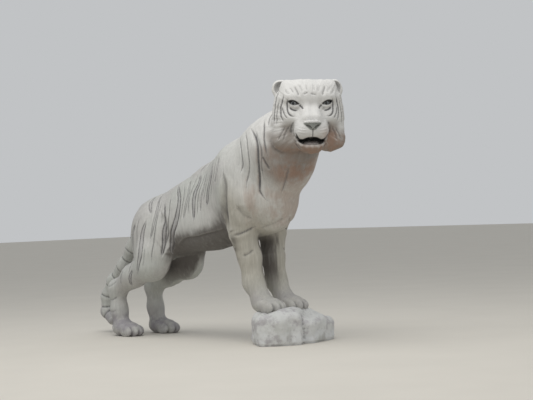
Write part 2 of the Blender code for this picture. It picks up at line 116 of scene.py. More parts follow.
def turned(about_x: float = 0.0, about_y: float = 0.0, about_z: float = 0.0) -> Array:
    """Turn a frame about x, then y, then z.

    Args:
        about_x: Degrees about x.
        about_y: Degrees about y.
        about_z: Degrees about z.

    Returns:
        The frame's axes as the columns of a 3 by 3 array.
    """
    spin = Matrix.Rotation(math.radians(about_z), 3, "Z")
    spin = spin @ Matrix.Rotation(math.radians(about_y), 3, "Y")
    return np.array(spin @ Matrix.Rotation(math.radians(about_x), 3, "X"))


def eased(value: Array, low: float, high: float) -> Array:
    """Rise smoothly from 0 at low to 1 at high; with low above high, it falls."""
    share = np.clip((value - low) / (high - low), 0.0, 1.0)
    return share * share * (3.0 - 2.0 * share)


class Mass:
    """A rounded mass of the body, or a hollow in it."""

    blend: float = 0.04
    margin: float = 0.03

    def box(self) -> tuple[Array, Array]:
        """The low and high corners that hold the mass.

        Returns:
            Both corners.
        """
        raise NotImplementedError

    def distance(self, points: Array) -> Array:
        """How far each point is outside the mass.

        Args:
            points: Where to measure.

        Returns:
            The distances, negative inside.
        """
        raise NotImplementedError

    def add_to(self, mesh: BMesh) -> None:
        """Add a closed rough form of the mass to a mesh.

        Args:
            mesh: The mesh that grows.
        """
        raise NotImplementedError

    def near(self, points: Array) -> Array:
        """The points that the mass can reach, as an index.

        Args:
            points: Places in the living tiger's metres.

        Returns:
            Their numbers.
        """
        low, high = self.box()
        reach = self.blend + self.margin
        return np.nonzero(((points > low - reach) & (points < high + reach)).all(axis=1))[0]


@dataclass
class Framed(Mass):
    """A mass that is laid out round a centre along axes of its own."""

    centre: Sequence[float]
    half: Sequence[float]
    blend: float = 0.04
    frame: Array = field(default_factory=lambda: np.eye(3))

    def __post_init__(self) -> None:
        """Keep the sizes as arrays."""
        self.centre = np.array(self.centre, dtype=float)
        self.half = np.array(self.half, dtype=float)

    def box(self) -> tuple[Array, Array]:
        """The low and high corners that hold the mass."""
        reach = np.abs(self.frame) @ self.half
        return self.centre - reach, self.centre + reach

    def local(self, points: Array) -> Array:
        """Points, measured from the centre along the mass's axes."""
        return (points - self.centre) @ self.frame

    def laid_out(self, growth: float) -> Matrix:
        """The transform that turns a plain unit form into the mass's own.

        Args:
            growth: 1 for a form of radius 1, 2 for a form of side 1.

        Returns:
            The transform.
        """
        spread = Matrix.Diagonal(Vector(self.half * growth)).to_4x4()
        place = Matrix.Translation(Vector(self.centre)) @ Matrix(self.frame.tolist()).to_4x4()
        return place @ spread


class Ellipsoid(Framed):
    """A ball with three radii."""

    def distance(self, points: Array) -> Array:
        """How far each point is outside the ball, close to its surface."""
        local = self.local(points)
        near = np.linalg.norm(local / self.half, axis=1)
        steep = np.linalg.norm(local / self.half**2, axis=1)
        return near * (near - 1.0) / np.maximum(steep, TINY)

    def add_to(self, mesh: BMesh) -> None:
        """Add a ball of this shape to a mesh."""
        bmesh.ops.create_icosphere(mesh, subdivisions=3, radius=1.0, matrix=self.laid_out(1.0))


@dataclass
class Boulder(Framed):
    """A block with rounded edges."""

    edge: float = 0.04

    def distance(self, points: Array) -> Array:
        """How far each point is outside the rounded block."""
        local = np.abs(self.local(points)) - (self.half - self.edge)
        outside = np.linalg.norm(np.maximum(local, 0.0), axis=1)
        return outside + np.minimum(local.max(axis=1), 0.0) - self.edge

    def add_to(self, mesh: BMesh) -> None:
        """Add the block to a mesh with square edges."""
        bmesh.ops.create_cube(mesh, size=1.0, matrix=self.laid_out(2.0))


@dataclass
class Slot(Framed):
    """An almond-shaped opening, cut back from the front: an eye's or the mouth's.

    Its half sizes are its depth, its width and its height at the middle. Its ends sag, its
    front bows round them, and its upper edge droops on each side of the middle.
    """

    sag: float = 0.0
    bow: float = 0.0
    droop: float = 0.0
    fullness: int = 2
    sag_power: int = 6
    droop_power: float = 1.6
    cut_share: float = 0.96
    cut_steps: int = 25

    def edges(self, share: Array) -> tuple[Array, Array]:
        """The heights of the lower and upper edge at a share of the half width.

        Args:
            share: From -1 at one end to 1 at the other.

        Returns:
            Both heights, over the centre.
        """
        middle = self.sag * share**self.sag_power
        half = self.half[2] * (1.0 - share**self.fullness)
        droop = self.droop * np.sin(math.pi * np.abs(share) ** self.droop_power) ** 2
        return middle - half, middle + half - droop

    def box(self) -> tuple[Array, Array]:
        """The low and high corners that hold the opening, its sagging ends too."""
        reach = np.abs(self.frame) @ (self.half + np.array((0.0, 0.0, abs(self.sag))))
        return self.centre - reach, self.centre + reach

    def distance(self, points: Array) -> Array:
        """How far each point is outside the opening."""
        local = self.local(points)
        wide, high = self.half[1:]
        share = np.clip(local[:, 1] / wide, -1.1, 1.1)
        lower, upper = self.edges(share)
        slope = 2.0 * share / wide * (high + abs(self.sag))
        gap = np.maximum(lower - local[:, 2], local[:, 2] - upper) / np.sqrt(1.0 + slope**2)
        beyond = np.abs(local[:, 1]) - wide
        return np.maximum(np.maximum(gap, beyond), -local[:, 0] - self.bow * share**2)

    def add_to(self, mesh: BMesh) -> None:
        """Add the opening to a mesh as a closed bar of almond section."""
        loops = []
        front, wide, _ = self.half
        for share in np.linspace(-self.cut_share, self.cut_share, self.cut_steps):
            low, high = self.edges(share)
            back = -self.bow * share**2
            loop = []
            for ahead, up in ((back, high), (front, high), (front, low), (back, low)):
                spot = self.centre + self.frame @ np.array((ahead, share * wide, up))
                loop.append(mesh.verts.new(Vector(spot)))
            loops.append(loop)
        for first, second in zip(loops, loops[1:]):
            for here in range(4):
                after = (here + 1) % 4
                mesh.faces.new((first[here], first[after], second[after], second[here]))
        mesh.faces.new(loops[0][::-1])
        mesh.faces.new(loops[-1])


@dataclass
class Limb(Mass):
    """A round bar that tapers from one radius to another, with round ends."""

    start: Sequence[float]
    end: Sequence[float]
    thick: float
    thin: float
    blend: float = 0.04

    def __post_init__(self) -> None:
        """Keep the ends as arrays."""
        self.start = np.array(self.start, dtype=float)
        self.end = np.array(self.end, dtype=float)

    def box(self) -> tuple[Array, Array]:
        """The low and high corners that hold the limb."""
        low = np.minimum(self.start - self.thick, self.end - self.thin)
        return low, np.maximum(self.start + self.thick, self.end + self.thin)

    def distance(self, points: Array) -> Array:
        """How far each point is outside the limb."""
        along = self.end - self.start
        share = np.clip((points - self.start) @ along / (along @ along), 0.0, 1.0)
        radius = self.thick + (self.thin - self.thick) * share
        return np.linalg.norm(points - self.start - share[:, None] * along, axis=1) - radius

    def add_to(self, mesh: BMesh) -> None:
        """Add the limb to a mesh as a row of balls."""
        along = self.end - self.start
        count = 2 + int(np.linalg.norm(along) / (0.4 * min(self.thick, self.thin)))
        for share in np.linspace(0.0, 1.0, count):
            radius = self.thick + (self.thin - self.thick) * share
            place = Matrix.Translation(Vector(self.start + share * along))
            bmesh.ops.create_icosphere(mesh, subdivisions=2, radius=radius, matrix=place)


def chain(stations: Path, blend: float = 0.03) -> list[Mass]:
    """Join a row of stations by limbs."""
    return [Limb(a[:3], b[:3], a[3], b[3], blend) for a, b in zip(stations, stations[1:])]


def soft_low(first: Array, second: Array, blend: float) -> Array:
    """Take the lower of two fields, rounded over the blend where they meet."""
    close = np.maximum(blend - np.abs(first - second), 0.0) / blend
    return np.minimum(first, second) - close * close * blend * 0.25


@dataclass
class Form:
    """A body of masses that run into each other, less its hollows."""

    masses: list[Mass]
    hollows: list[Mass] = field(default_factory=list)

    def reach(self, points: Array) -> list[Array]:
        """The points near each mass and hollow, as indexes."""
        return [mass.near(points) for mass in self.masses + self.hollows]

    def depth(self, points: Array, reach: list[Array] | None = None) -> Array:
        """Measure how far points are outside the body.

        Args:
            points: Where to measure.
            reach: The points near each mass, where that is known already.

        Returns:
            The distance, negative inside.
        """
        reach = reach or self.reach(points)
        out = np.full(len(points), OPEN_AIR)
        for mass, near in zip(self.masses, reach):
            if len(near):
                out[near] = soft_low(out[near], mass.distance(points[near]), mass.blend)
        for hollow, near in zip(self.hollows, reach[len(self.masses):]):
            if len(near):
                cut = hollow.distance(points[near])
                out[near] = -soft_low(-out[near], cut, hollow.blend)
        return out

    def slope(self, points: Array, here: Array, reach: list[Array]) -> Array:
        """Which way is out of the body, at each point.

        Args:
            points: Where to measure.
            here: The distance there.
            reach: The points near each mass.

        Returns:
            The slope of the distance, one vector for each point.
        """
        slope = np.empty_like(points)
        for axis in range(3):
            aside = points.copy()
            aside[:, axis] += SLOPE_STEP
            slope[:, axis] = (self.depth(aside, reach) - here) / SLOPE_STEP
        return slope

    def settle(self, points: Array, rounds: int = 4) -> Array:
        """Move points onto the body's surface.

        Args:
            points: Points not far from the surface.
            rounds: How many times the move is corrected.

        Returns:
            The moved points.
        """
        points = points.copy()
        reach = self.reach(points)
        for _ in range(rounds):
            here = self.depth(points, reach)
            slope = self.slope(points, here, reach)
            steep = np.maximum((slope * slope).sum(axis=1), FLATTEST_SLOPE)
            move = np.clip(-here / steep, -LONGEST_MOVE, LONGEST_MOVE)
            points += move[:, None] * slope
        return points

    def normals(self, points: Array) -> Array:
        """The outward normal at points on the surface.

        Args:
            points: Where to measure.

        Returns:
            One unit vector for each point.
        """
        reach = self.reach(points)
        slope = self.slope(points, self.depth(points, reach), reach)
        return slope / np.maximum(np.linalg.norm(slope, axis=1), TINY)[:, None]

    def land(self, points: Array, heading: Array) -> Array:
        """Send points along a heading until they meet the body.

        Args:
            points: Where each one starts, outside the body.
            heading: One unit vector for all, or one for each.

        Returns:
            Points on the surface.
        """
        points = points.copy()
        for _ in range(LANDING_STEPS):
            step = np.clip(self.depth(points) * LANDING_SHARE, *LANDING_MOVES)
            points += step[:, None] * heading
        return self.settle(points, 2)


@dataclass
class Cluster(Mass):
    """Masses that run softly into each other and meet the rest of the body in a crease."""

    masses: list[Mass]
    blend: float = 0.03

    def box(self) -> tuple[Array, Array]:
        """The low and high corners that hold every mass.

        Returns:
            Both corners.
        """
        boxes = [mass.box() for mass in self.masses]
        soft = max(mass.blend for mass in self.masses)
        low = np.min([box[0] for box in boxes], axis=0) - soft / 4.0
        return low, np.max([box[1] for box in boxes], axis=0) + soft / 4.0

    def distance(self, points: Array) -> Array:
        """How far each point is outside the cluster."""
        return Form(self.masses).depth(points)

    def add_to(self, mesh: BMesh) -> None:
        """Add every mass to a mesh."""
        for mass in self.masses:
            mass.add_to(mesh)


# ---------------- the parts of the body


@dataclass
class Trunk:
    """Chest, ribs, loin and pelvis, on a back that climbs towards the shoulders."""

    # The centre, radii, blend and lean of each ball, from the pelvis to the breast.
    balls: tuple[Row, ...] = (
        ((-0.5, 0.0, 0.66), (0.18, 0.14, 0.182), 0.08, 10.0),
        ((-0.26, 0.0, 0.715), (0.36, 0.16, 0.2), 0.1, -20.0),
        ((0.06, 0.0, 0.77), (0.33, 0.18, 0.238), 0.12, -20.0),
        ((0.32, 0.0, 0.84), (0.24, 0.19, 0.255), 0.12, -20.0),
        ((0.5, 0.0, 0.815), (0.145, 0.155, 0.17), 0.08, 0.0),
        ((0.47, 0.0, 0.7), (0.12, 0.085, 0.08), 0.05, 0.0),
    )
    withers: Row = ((0.0, 0.0, 0.95), (0.22, 0.0, 1.02), 0.06, 0.065, 0.1)
    belly: Row = ((0.27, 0.09, 0.105), 0.05, -10.0)
    belly_at: Point = (0.02, 0.085, 0.665)

    def masses(self) -> list[Mass]:
        """The trunk's rounded masses.

        Returns:
            The masses.
        """
        balls = [
            Ellipsoid(centre, radii, blend, turned(about_y=lean))
            for centre, radii, blend, lean in self.balls
        ]
        radii, blend, lean = self.belly
        x, y, z = self.belly_at
        frame = turned(about_y=lean)
        flanks = [Ellipsoid((x, side * y, z), radii, blend, frame) for side, _ in SIDES]
        return [*balls, Limb(*self.withers), *flanks]


@dataclass
class Neck:
    """A short, very thick neck, with a full throat."""

    # The two ends, their radii and the blend of each stretch.
    stretches: tuple[Row, ...] = (
        ((0.33, 0.0, 0.955), (0.56, 0.0, 1.07), 0.2, 0.2, 0.1),
        ((0.56, 0.0, 1.07), (0.72, 0.0, 1.19), 0.2, 0.165, 0.05),
    )
    throat: Row = ((0.66, 0.0, 0.99), (0.11, 0.13, 0.17), 0.06)
    throat_lean: float = 25.0

    def masses(self) -> list[Mass]:
        """The neck's rounded masses."""
        throat = Ellipsoid(*self.throat, turned(about_y=self.throat_lean))
        return [*(Limb(*stretch) for stretch in self.stretches), throat]


@dataclass
class Paw:
    """Four toes in a row under one broad foot, each toe with a knuckle."""

    tip: Point
    spread: float
    height: float
    stagger: float = 0.012
    toes: int = 4
    pad_length: float = 0.05
    pad_width: float = 0.0185
    pad_blend: float = 0.008
    knuckle: Point = (0.034, 0.0165, 0.026)
    knuckle_back: float = 0.034
    knuckle_up: float = 0.018
    knuckle_blend: float = 0.01

    def masses(self) -> list[Mass]:
        """The toes, the outer ones set back a little.

        Returns:
            The masses.
        """
        parts: list[Mass] = []
        middle = (self.toes - 1) / 2.0
        ahead, out, low = self.tip
        pad = (self.pad_length, self.pad_width, self.height)
        for toe in range(self.toes):
            back = self.stagger * (toe - middle) ** 2
            side = out + (toe - middle) * self.spread
            crown = (ahead - back - self.knuckle_back, side, low + self.knuckle_up)
            parts.append(Ellipsoid((ahead - back, side, low), pad, self.pad_blend))
            parts.append(Ellipsoid(crown, self.knuckle, self.knuckle_blend))
        return parts


@dataclass
class Foreleg:
    """Shoulder blade, upper arm, forearm and paw; side is +1 on the left."""

    side: int
    crease: float = 0.045
    toe_spread: float = 0.034

    def masses(self) -> list[Mass]:
        """The leg; its shoulder is one cluster, which stands proud of the chest.

        Returns:
            The masses.
        """
        side, out, knee = self.side, self.side * STANCE_FORE, FOREPAW_X
        blade = (0.36, side * 0.12, 0.88)
        elbow = (0.37, side * 0.122, 0.65)
        shoulder = [
            Ellipsoid(blade, (0.115, 0.084, 0.19), 0.07, turned(about_y=25.0)),
            Limb((0.43, side * 0.125, 0.8), elbow, 0.098, 0.08, 0.08),
        ]
        forearm = [
            (0.37, side * 0.117, 0.61, 0.078),
            (0.392, out, 0.48, 0.065),
            (knee, out, 0.34, 0.058),
            (knee + 0.045, out, 0.265, 0.055),
        ]
        foot = Ellipsoid((knee + 0.105, out, 0.212), (0.1, 0.066, 0.048), 0.04)
        paw = Paw((knee + 0.175, out, 0.2), self.toe_spread, self.toe_spread)
        return [Cluster(shoulder, self.crease), *chain(forearm), foot, *paw.masses()]


@dataclass
class Hindleg:
    """Thigh, lower thigh, hock, shank and paw; side is +1 on the left."""

    side: int
    toe_spread: float = 0.033

    def masses(self) -> list[Mass]:
        """The thigh and the leg below it; the left one stands a step ahead.

        Returns:
            The masses.
        """
        out = self.side * STANCE_HIND
        step = HIND_STEP if self.side > 0 else 0.0
        heel = HINDPAW_X + step
        shank = [
            (-0.46 + step, out, 0.425, 0.08),
            (-0.62 + step, out, 0.37, 0.066),
            (heel - 0.005, out, 0.29, 0.05),
            (heel + 0.005, out, 0.16, 0.045),
            (heel + 0.025, out, 0.07, 0.048),
        ]
        paw = Paw((heel + 0.152, out, 0.03), self.toe_spread, self.toe_spread)
        return [
            Ellipsoid((-0.445 + step, self.side * 0.105, 0.58), (0.18, 0.082, 0.22), 0.06),
            Limb((-0.44 + step, out, 0.5), (-0.43 + step, out, 0.44), 0.086, 0.08, 0.06),
            *chain(shank, 0.05),
            Ellipsoid((heel + 0.075, out, 0.042), (0.115, 0.062, 0.048), 0.04),
            *paw.masses(),
        ]


@dataclass
class Tail:
    """The tail leaves the rump, hangs away from the legs and curls at its end."""

    stations: tuple[Station, ...] = (
        (-0.6, 0.0, 0.755, 0.062),
        (-0.69, 0.0, 0.66, 0.048),
        (-0.775, 0.0, 0.54, 0.041),
        (-0.875, 0.0, 0.425, 0.039),
        (-0.98, 0.0, 0.33, 0.039),
        (-1.05, 0.0, 0.23, 0.04),
        (-1.05, -0.005, 0.135, 0.039),
        (-0.985, -0.02, 0.082, 0.032),
    )

    def masses(self) -> list[Mass]:
        """The tail's stretches."""
        return chain(self.stations, 0.04)

    def ring(self, share: float, count: int = 24) -> Array:
        """Points round the tail, part of the way down it.

        Args:
            share: From 0 at the rump to 1 at the tip.
            count: How many points.

        Returns:
            A closed ring of points just off the tail's surface.
        """
        table = np.array(self.stations)
        run = np.linalg.norm(np.diff(table[:, :3], axis=0), axis=1)
        reach = np.concatenate([[0.0], np.cumsum(run)])
        here = share * reach[-1]
        middle = np.array([np.interp(here, reach, table[:, axis]) for axis in range(4)])
        ahead = np.array([np.interp(here + 0.02, reach, table[:, axis]) for axis in range(3)])
        along = ahead - middle[:3]
        along /= max(np.linalg.norm(along), TINY)
        across = np.cross(along, (0.0, 1.0, 0.0))
        turn = np.linspace(0.0, 2.0 * math.pi, count + 1)[:, None]
        out = np.cos(turn) * across + np.sin(turn) * np.array((0.0, 1.0, 0.0))
        return middle[:3] + middle[3] * out


@dataclass(frozen=True)
class Ball:
    """One ball of the head: its centre on the left side, its radii and its blend."""

    centre: Point
    radii: Point
    blend: float

    def on(self, head: "Head", side: int) -> Mass:
        """Lay the ball out on one side of a head."""
        return head.ball(mirrored(self.centre, side), self.radii, self.blend)


@dataclass(frozen=True)
class Bar:
    """One tapering bar of the head: its ends on the left side, their radii and its blend."""

    start: Point
    end: Point
    thick: float
    thin: float
    blend: float

    def on(self, head: "Head", side: int) -> Mass:
        """Lay the bar out on one side of a head."""
        ends = [head.point(*mirrored(end, side)) for end in (self.start, self.end)]
        return Limb(*ends, self.thick, self.thin, self.blend)


def mirrored(spot: Sequence[float], side: int) -> tuple[float, ...]:
    """A place or station given for the left side, on one side of the head."""
    return (spot[0], side * spot[1], *spot[2:])


@dataclass
class Head:
    """Skull, muzzle, eyes and ears, in a frame that starts midway between the eyes.

    A place in it is ahead along the face, out to the tiger's left, and up. A station is a
    place with a radius.
    """

    yaw: float = -40.0
    pitch: float = -4.0
    tilt: float = -1.0
    crease: float = 0.018
    rod_blend: float = 0.008

    # Skull, cheeks and ruff: what lies on the middle, then what is there on both sides.
    dome: tuple[Ball, ...] = (
        Ball((-0.12, 0.0, 0.0), (0.16, 0.15, 0.132), 0.05),
        Ball((-0.035, 0.0, 0.045), (0.09, 0.12, 0.074), 0.05),
        Ball((0.01, 0.0, 0.006), (0.046, 0.05, 0.048), 0.035),
    )
    cheek: tuple[Ball | Bar, ...] = (
        Ball((-0.09, 0.112, -0.085), (0.1, 0.086, 0.15), 0.04),
        Ball((-0.08, 0.1, 0.02), (0.092, 0.072, 0.08), 0.05),
        Ball((-0.07, 0.125, -0.185), (0.08, 0.062, 0.068), 0.04),
        Ball((-0.07, 0.165, -0.2), (0.05, 0.03, 0.036), 0.03),
        Bar((-0.05, 0.08, -0.188), (0.05, 0.025, -0.224), 0.06, 0.033, 0.05),
        Bar((-0.007, 0.022, 0.005), (0.11, 0.022, -0.079), 0.03, 0.027, 0.02),
        Bar((-0.035, 0.032, -0.04), (0.08, 0.036, -0.115), 0.05, 0.045, 0.03),
        Ball((-0.072, 0.12, 0.088), (0.042, 0.034, 0.042), 0.02),
        Ball((-0.06, 0.075, 0.068), (0.07, 0.056, 0.05), 0.04),
        Ball((0.007, 0.08, 0.035), (0.042, 0.052, 0.025), 0.035),
        Ball((0.0, 0.1, -0.072), (0.054, 0.044, 0.05), 0.04),
    )

    # Muzzle, chin and lips.
    front: tuple[Ball, ...] = (
        Ball((0.118, 0.0, -0.138), (0.038, 0.046, 0.044), 0.03),
        Ball((0.062, 0.0, -0.235), (0.06, 0.05, 0.026), 0.03),
    )
    whisker_pad: Ball = Ball((0.068, 0.048, -0.147), (0.076, 0.044, 0.0445), 0.022)
    lip: tuple[Station, ...] = (
        (0.036, 0.086, -0.182, 0.003),
        (0.064, 0.07, -0.208, 0.005),
        (0.088, 0.052, -0.2195, 0.008),
        (0.11, 0.026, -0.2265, 0.01),
        (0.117, 0.0, -0.2275, 0.01),
    )
    mouth: Point = (0.058, 0.0, -0.1985)
    mouth_half: Point = (0.14, 0.084, 0.0185)
    mouth_blend: float = 0.005
    lip_blend: float = 0.014
    cleft: tuple[Station, ...] = ((0.152, 0.0, -0.178, 0.004), (0.14, 0.0, -0.19, 0.009))

    # The bare pad of the nose, its rim from the middle outwards, and a nostril.
    nose_pad: tuple[Ball, ...] = (
        Ball((0.138, 0.0, -0.113), (0.026, 0.037, 0.019), 0.01),
        Ball((0.147, 0.0, -0.127), (0.017, 0.019, 0.015), 0.014),
    )
    nose_middle: Station = (0.154, 0.0, -0.1, 0.01)
    nose_rim: tuple[Station, ...] = ((0.136, 0.036, -0.103, 0.009), (0.151, 0.019, -0.099, 0.01))
    nostril: tuple[Station, ...] = (
        (0.165, 0.012, -0.1295, 0.0045),
        (0.163, 0.019, -0.125, 0.007),
        (0.158, 0.026, -0.1205, 0.0055),
        (0.149, 0.034, -0.1165, 0.0028),
    )
    nose_crease: float = 0.006
    nostril_blend: float = 0.004

    # The lids, as distance from the middle of the face, height and radius; the eye's opening.
    upper_lid: tuple[Point, ...] = (
        (0.113, 0.012, 0.0055),
        (0.1, 0.02, 0.007),
        (0.084, 0.0215, 0.0075),
        (0.069, 0.015, 0.0068),
        (0.056, 0.0, 0.0055),
    )
    lower_lid: tuple[Point, ...] = (
        (0.111, 0.001, 0.0035),
        (0.098, -0.0095, 0.0045),
        (0.081, -0.0145, 0.005),
        (0.065, -0.0125, 0.0045),
        (0.052, -0.0085, 0.0035),
    )
    inner_corner: Station = (0.04, 0.045, -0.02, 0.0045)
    lid_radius: float = 0.0415
    lid_crease: float = 0.01
    lid_blend: float = 0.012
    eye_turn: float = 14.0
    eye_slant: float = 13.0
    eye_half: Point = (0.14, 0.027, 0.0095)
    eye_shift: Point = (EYE_BACK, EYE_OUT + 0.004, 0.0035)
    eye_blend: float = 0.003

    # The ears: a thick disc with a bowl in its front.
    ear: Row = ((-0.11, 0.147, 0.082), (0.024, 0.05, 0.052), 0.02)
    ear_bowl: Row = ((-0.086, 0.157, 0.092), (0.026, 0.033, 0.036), 0.006)
    ear_turn: float = 20.0
    ear_lean: float = -10.0

    def __post_init__(self) -> None:
        """Work out the head's axes."""
        self.frame = turned(about_x=self.tilt, about_y=-self.pitch, about_z=self.yaw)
        self.origin = np.array(EYES_AT)

    def point(self, ahead: float, out: float, up: float) -> Array:
        """A place in the head's frame, in the statue's."""
        return self.origin + self.frame @ np.array((ahead, out, up))

    def local(self, points: Array) -> Array:
        """Places in the statue's frame, in the head's."""
        return (points - self.origin) @ self.frame

    def ball(
        self, centre: Sequence[float], radii: Point, blend: float, turn: Array | None = None
    ) -> Ellipsoid:
        """An ellipsoid laid out in the head's frame."""
        frame = self.frame if turn is None else self.frame @ turn
        return Ellipsoid(self.point(*centre), radii, blend, frame)

    def rod(self, stations: Path, blend: float) -> list[Mass]:
        """A chain of limbs laid out in the head's frame."""
        return chain([(*self.point(*spot[:3]), spot[3]) for spot in stations], blend)

    def skull(self) -> list[Mass]:
        """The bony masses, the cheeks and the ruff."""
        paired = [mass.on(self, side) for side, _ in SIDES for mass in self.cheek]
        return [*(ball.on(self, 1) for ball in self.dome), *paired]

    def muzzle(self) -> list[Mass]:
        """The muzzle pads, the chin and the lips.

        Returns:
            The masses.
        """
        parts = [ball.on(self, 1) for ball in self.front]
        for side, _ in SIDES:
            lip = [mirrored(spot, side) for spot in self.lip]
            parts += [self.whisker_pad.on(self, side), *self.rod(lip, self.lip_blend)]
        return parts

    def nose(self) -> Cluster:
        """The bare pad of the nose, broad above and pointed below.

        Returns:
            The pad.
        """
        right = [mirrored(spot, -1) for spot in self.nose_rim]
        rim = [*right, self.nose_middle, *self.nose_rim[::-1]]
        pad = [ball.on(self, 1) for ball in self.nose_pad]
        return Cluster(pad + self.rod(rim, self.rod_blend), self.nose_crease)

    def on_lid(self, side: int, row: Point) -> Station:
        """A station on an eye's lids, from how the face is seen from its front.

        Args:
            side: +1 for the left eye.
            row: Distance from the middle of the face, height over the eyes' line, and radius.

        Returns:
            The station in the head's frame.
        """
        out, up, radius = row
        off = math.hypot(out - EYE_OUT, up)
        ahead = EYE_BACK + math.sqrt(self.lid_radius**2 - off**2)
        return (ahead, side * out, up, radius)

    def lids(self, side: int) -> Cluster:
        """The lids of one eye: a shell round the ball, with a heavy fold over it.

        Args:
            side: +1 for the left eye.

        Returns:
            The lids.
        """
        upper = [self.on_lid(side, row) for row in self.upper_lid]
        upper.append(mirrored(self.inner_corner, side))
        lower = [self.on_lid(side, row) for row in self.lower_lid]
        radii = (self.lid_radius,) * 3
        shell = self.ball((EYE_BACK, side * EYE_OUT, 0.0), radii, self.lid_blend)
        rods = self.rod(upper, self.rod_blend) + self.rod(lower, self.rod_blend)
        return Cluster([shell, *rods], self.lid_crease)

    def eye_opening(self, side: int) -> Slot:
        """The almond between the lids of one eye.

        Args:
            side: +1 for the left eye.

        Returns:
            The hollow.
        """
        slant = turned(about_x=side * self.eye_slant, about_z=side * self.eye_turn)
        centre = self.point(*mirrored(self.eye_shift, side))
        return Slot(centre, self.eye_half, self.eye_blend, self.frame @ slant)

    def mouth_opening(self) -> Slot:
        """The open mouth, its corners higher than its middle."""
        return Slot(
            self.point(*self.mouth), self.mouth_half, self.mouth_blend, self.frame,
            sag=0.034, bow=0.045, droop=0.013, fullness=4,
        )

    def lip_cleft(self) -> list[Mass]:
        """The cleft in the middle of the upper lip."""
        return self.rod(self.cleft, self.rod_blend)

    def nostril_cut(self, side: int) -> list[Mass]:
        """One nostril."""
        return self.rod([mirrored(spot, side) for spot in self.nostril], self.nostril_blend)

    def hollows(self) -> list[Mass]:
        """Every opening of the head: mouth, cleft, eyes, nostrils and ears.

        Returns:
            The hollows.
        """
        cuts: list[Mass] = [self.mouth_opening(), *self.lip_cleft()]
        for side, _ in SIDES:
            cuts += [self.eye_opening(side), *self.nostril_cut(side)]
        return cuts + [self.ear_hollow(side) for side, _ in SIDES]

    def at_ear(self, row: Row, side: int) -> Ellipsoid:
        """A ball that is turned as an ear is, forwards and a little outwards.

        Args:
            row: Its centre on the left side, radii and blend.
            side: +1 for the left ear.

        Returns:
            The ball.
        """
        centre, radii, blend = row
        turn = turned(about_z=side * self.ear_turn, about_y=self.ear_lean)
        return self.ball(mirrored(centre, side), radii, blend, turn)

    def ear_hollow(self, side: int) -> Ellipsoid:
        """The bowl in the front of an ear."""
        return self.at_ear(self.ear_bowl, side)

    def masses(self) -> list[Mass]:
        """The whole head, which meets the neck in a crease under the ruff.

        Returns:
            One cluster with everything in it.
        """
        parts = self.skull() + self.muzzle()
        parts += [self.lids(side) for side, _ in SIDES]
        parts.append(self.nose())
        parts += [Cluster([self.at_ear(self.ear, side)], self.crease) for side, _ in SIDES]
        return [Cluster(parts, self.crease)]


# ---------------- carved lines


class Cut(Enum):
    """How a line is worked into the stone."""

    GROOVE = "groove"
    FOLD = "fold"
    LEDGE = "ledge"
    RIDGE = "ridge"


@dataclass
class Line:
    """A line carved along the surface."""

    points: Array
    width: float
    depth: float
    cut: Cut = Cut.GROOVE
    tint: float = 1.0
    taper: float = 0.25


def smooth_path(points: Path, spacing: float = 0.003) -> Array:
    """Draw a smooth curve through a few points.

    Args:
        points: The points it passes.
        spacing: How close its own points are.

    Returns:
        The curve's points.
    """
    spots = np.array(points, dtype=float)
    if len(spots) == 2:
        spots = np.array([spots[0], spots.mean(axis=0), spots[1]])
    padded = np.concatenate([[2 * spots[0] - spots[1]], spots, [2 * spots[-1] - spots[-2]]])
    pieces = []
    for index in range(len(spots) - 1):
        before, start, end, after = padded[index:index + 4]
        count = max(2, int(np.linalg.norm(end - start) / spacing))
        share = np.linspace(0.0, 1.0, count, endpoint=False)[:, None]
        curve = 2 * start + (end - before) * share
        curve = curve + (2 * before - 5 * start + 4 * end - after) * share**2
        curve = curve + (3 * start - before - 3 * end + after) * share**3
        pieces.append(0.5 * curve)
    return np.concatenate([*pieces, spots[-1:]])


class Grain:
    """Smooth noise through space, the same on each run."""

    between: float = 7.3

    def __init__(self, seed: int, size: int = 32) -> None:
        """Fill a lattice that repeats after some cells; the seed tells which noise it is."""
        self.size = size
        self.lattice = np.random.default_rng(seed).random((size, size, size))

    def at(self, cells: Array) -> Array:
        """Read the noise.

        Args:
            cells: Where to read it, in cells.

        Returns:
            A value from 0 to 1 for each place.
        """
        base = np.floor(cells).astype(int)
        part = cells - base
        part = part * part * (3.0 - 2.0 * part)
        total = np.zeros(len(cells))
        for corner in np.ndindex(2, 2, 2):
            index = (base + np.array(corner)) % self.size
            share = np.abs(1.0 - np.array(corner) - part).prod(axis=1)
            total += share * self.lattice[index[:, 0], index[:, 1], index[:, 2]]
        return total

    def rough(self, places: Array, cell: float, octaves: int = 3) -> Array:
        """Noise in several sizes at once, from -1 to 1.

        Args:
            places: Where to read it.
            cell: The size of its broadest cells.
            octaves: How many sizes, each half of the last.

        Returns:
            A value for each place.
        """
        total = np.zeros(len(places))
        for octave in range(octaves):
            cells = places * 2.0**octave / cell + self.between * octave
            total += (2.0 * self.at(cells) - 1.0) / 2.0**octave
        return total / (2.0 - 0.5 ** (octaves - 1))


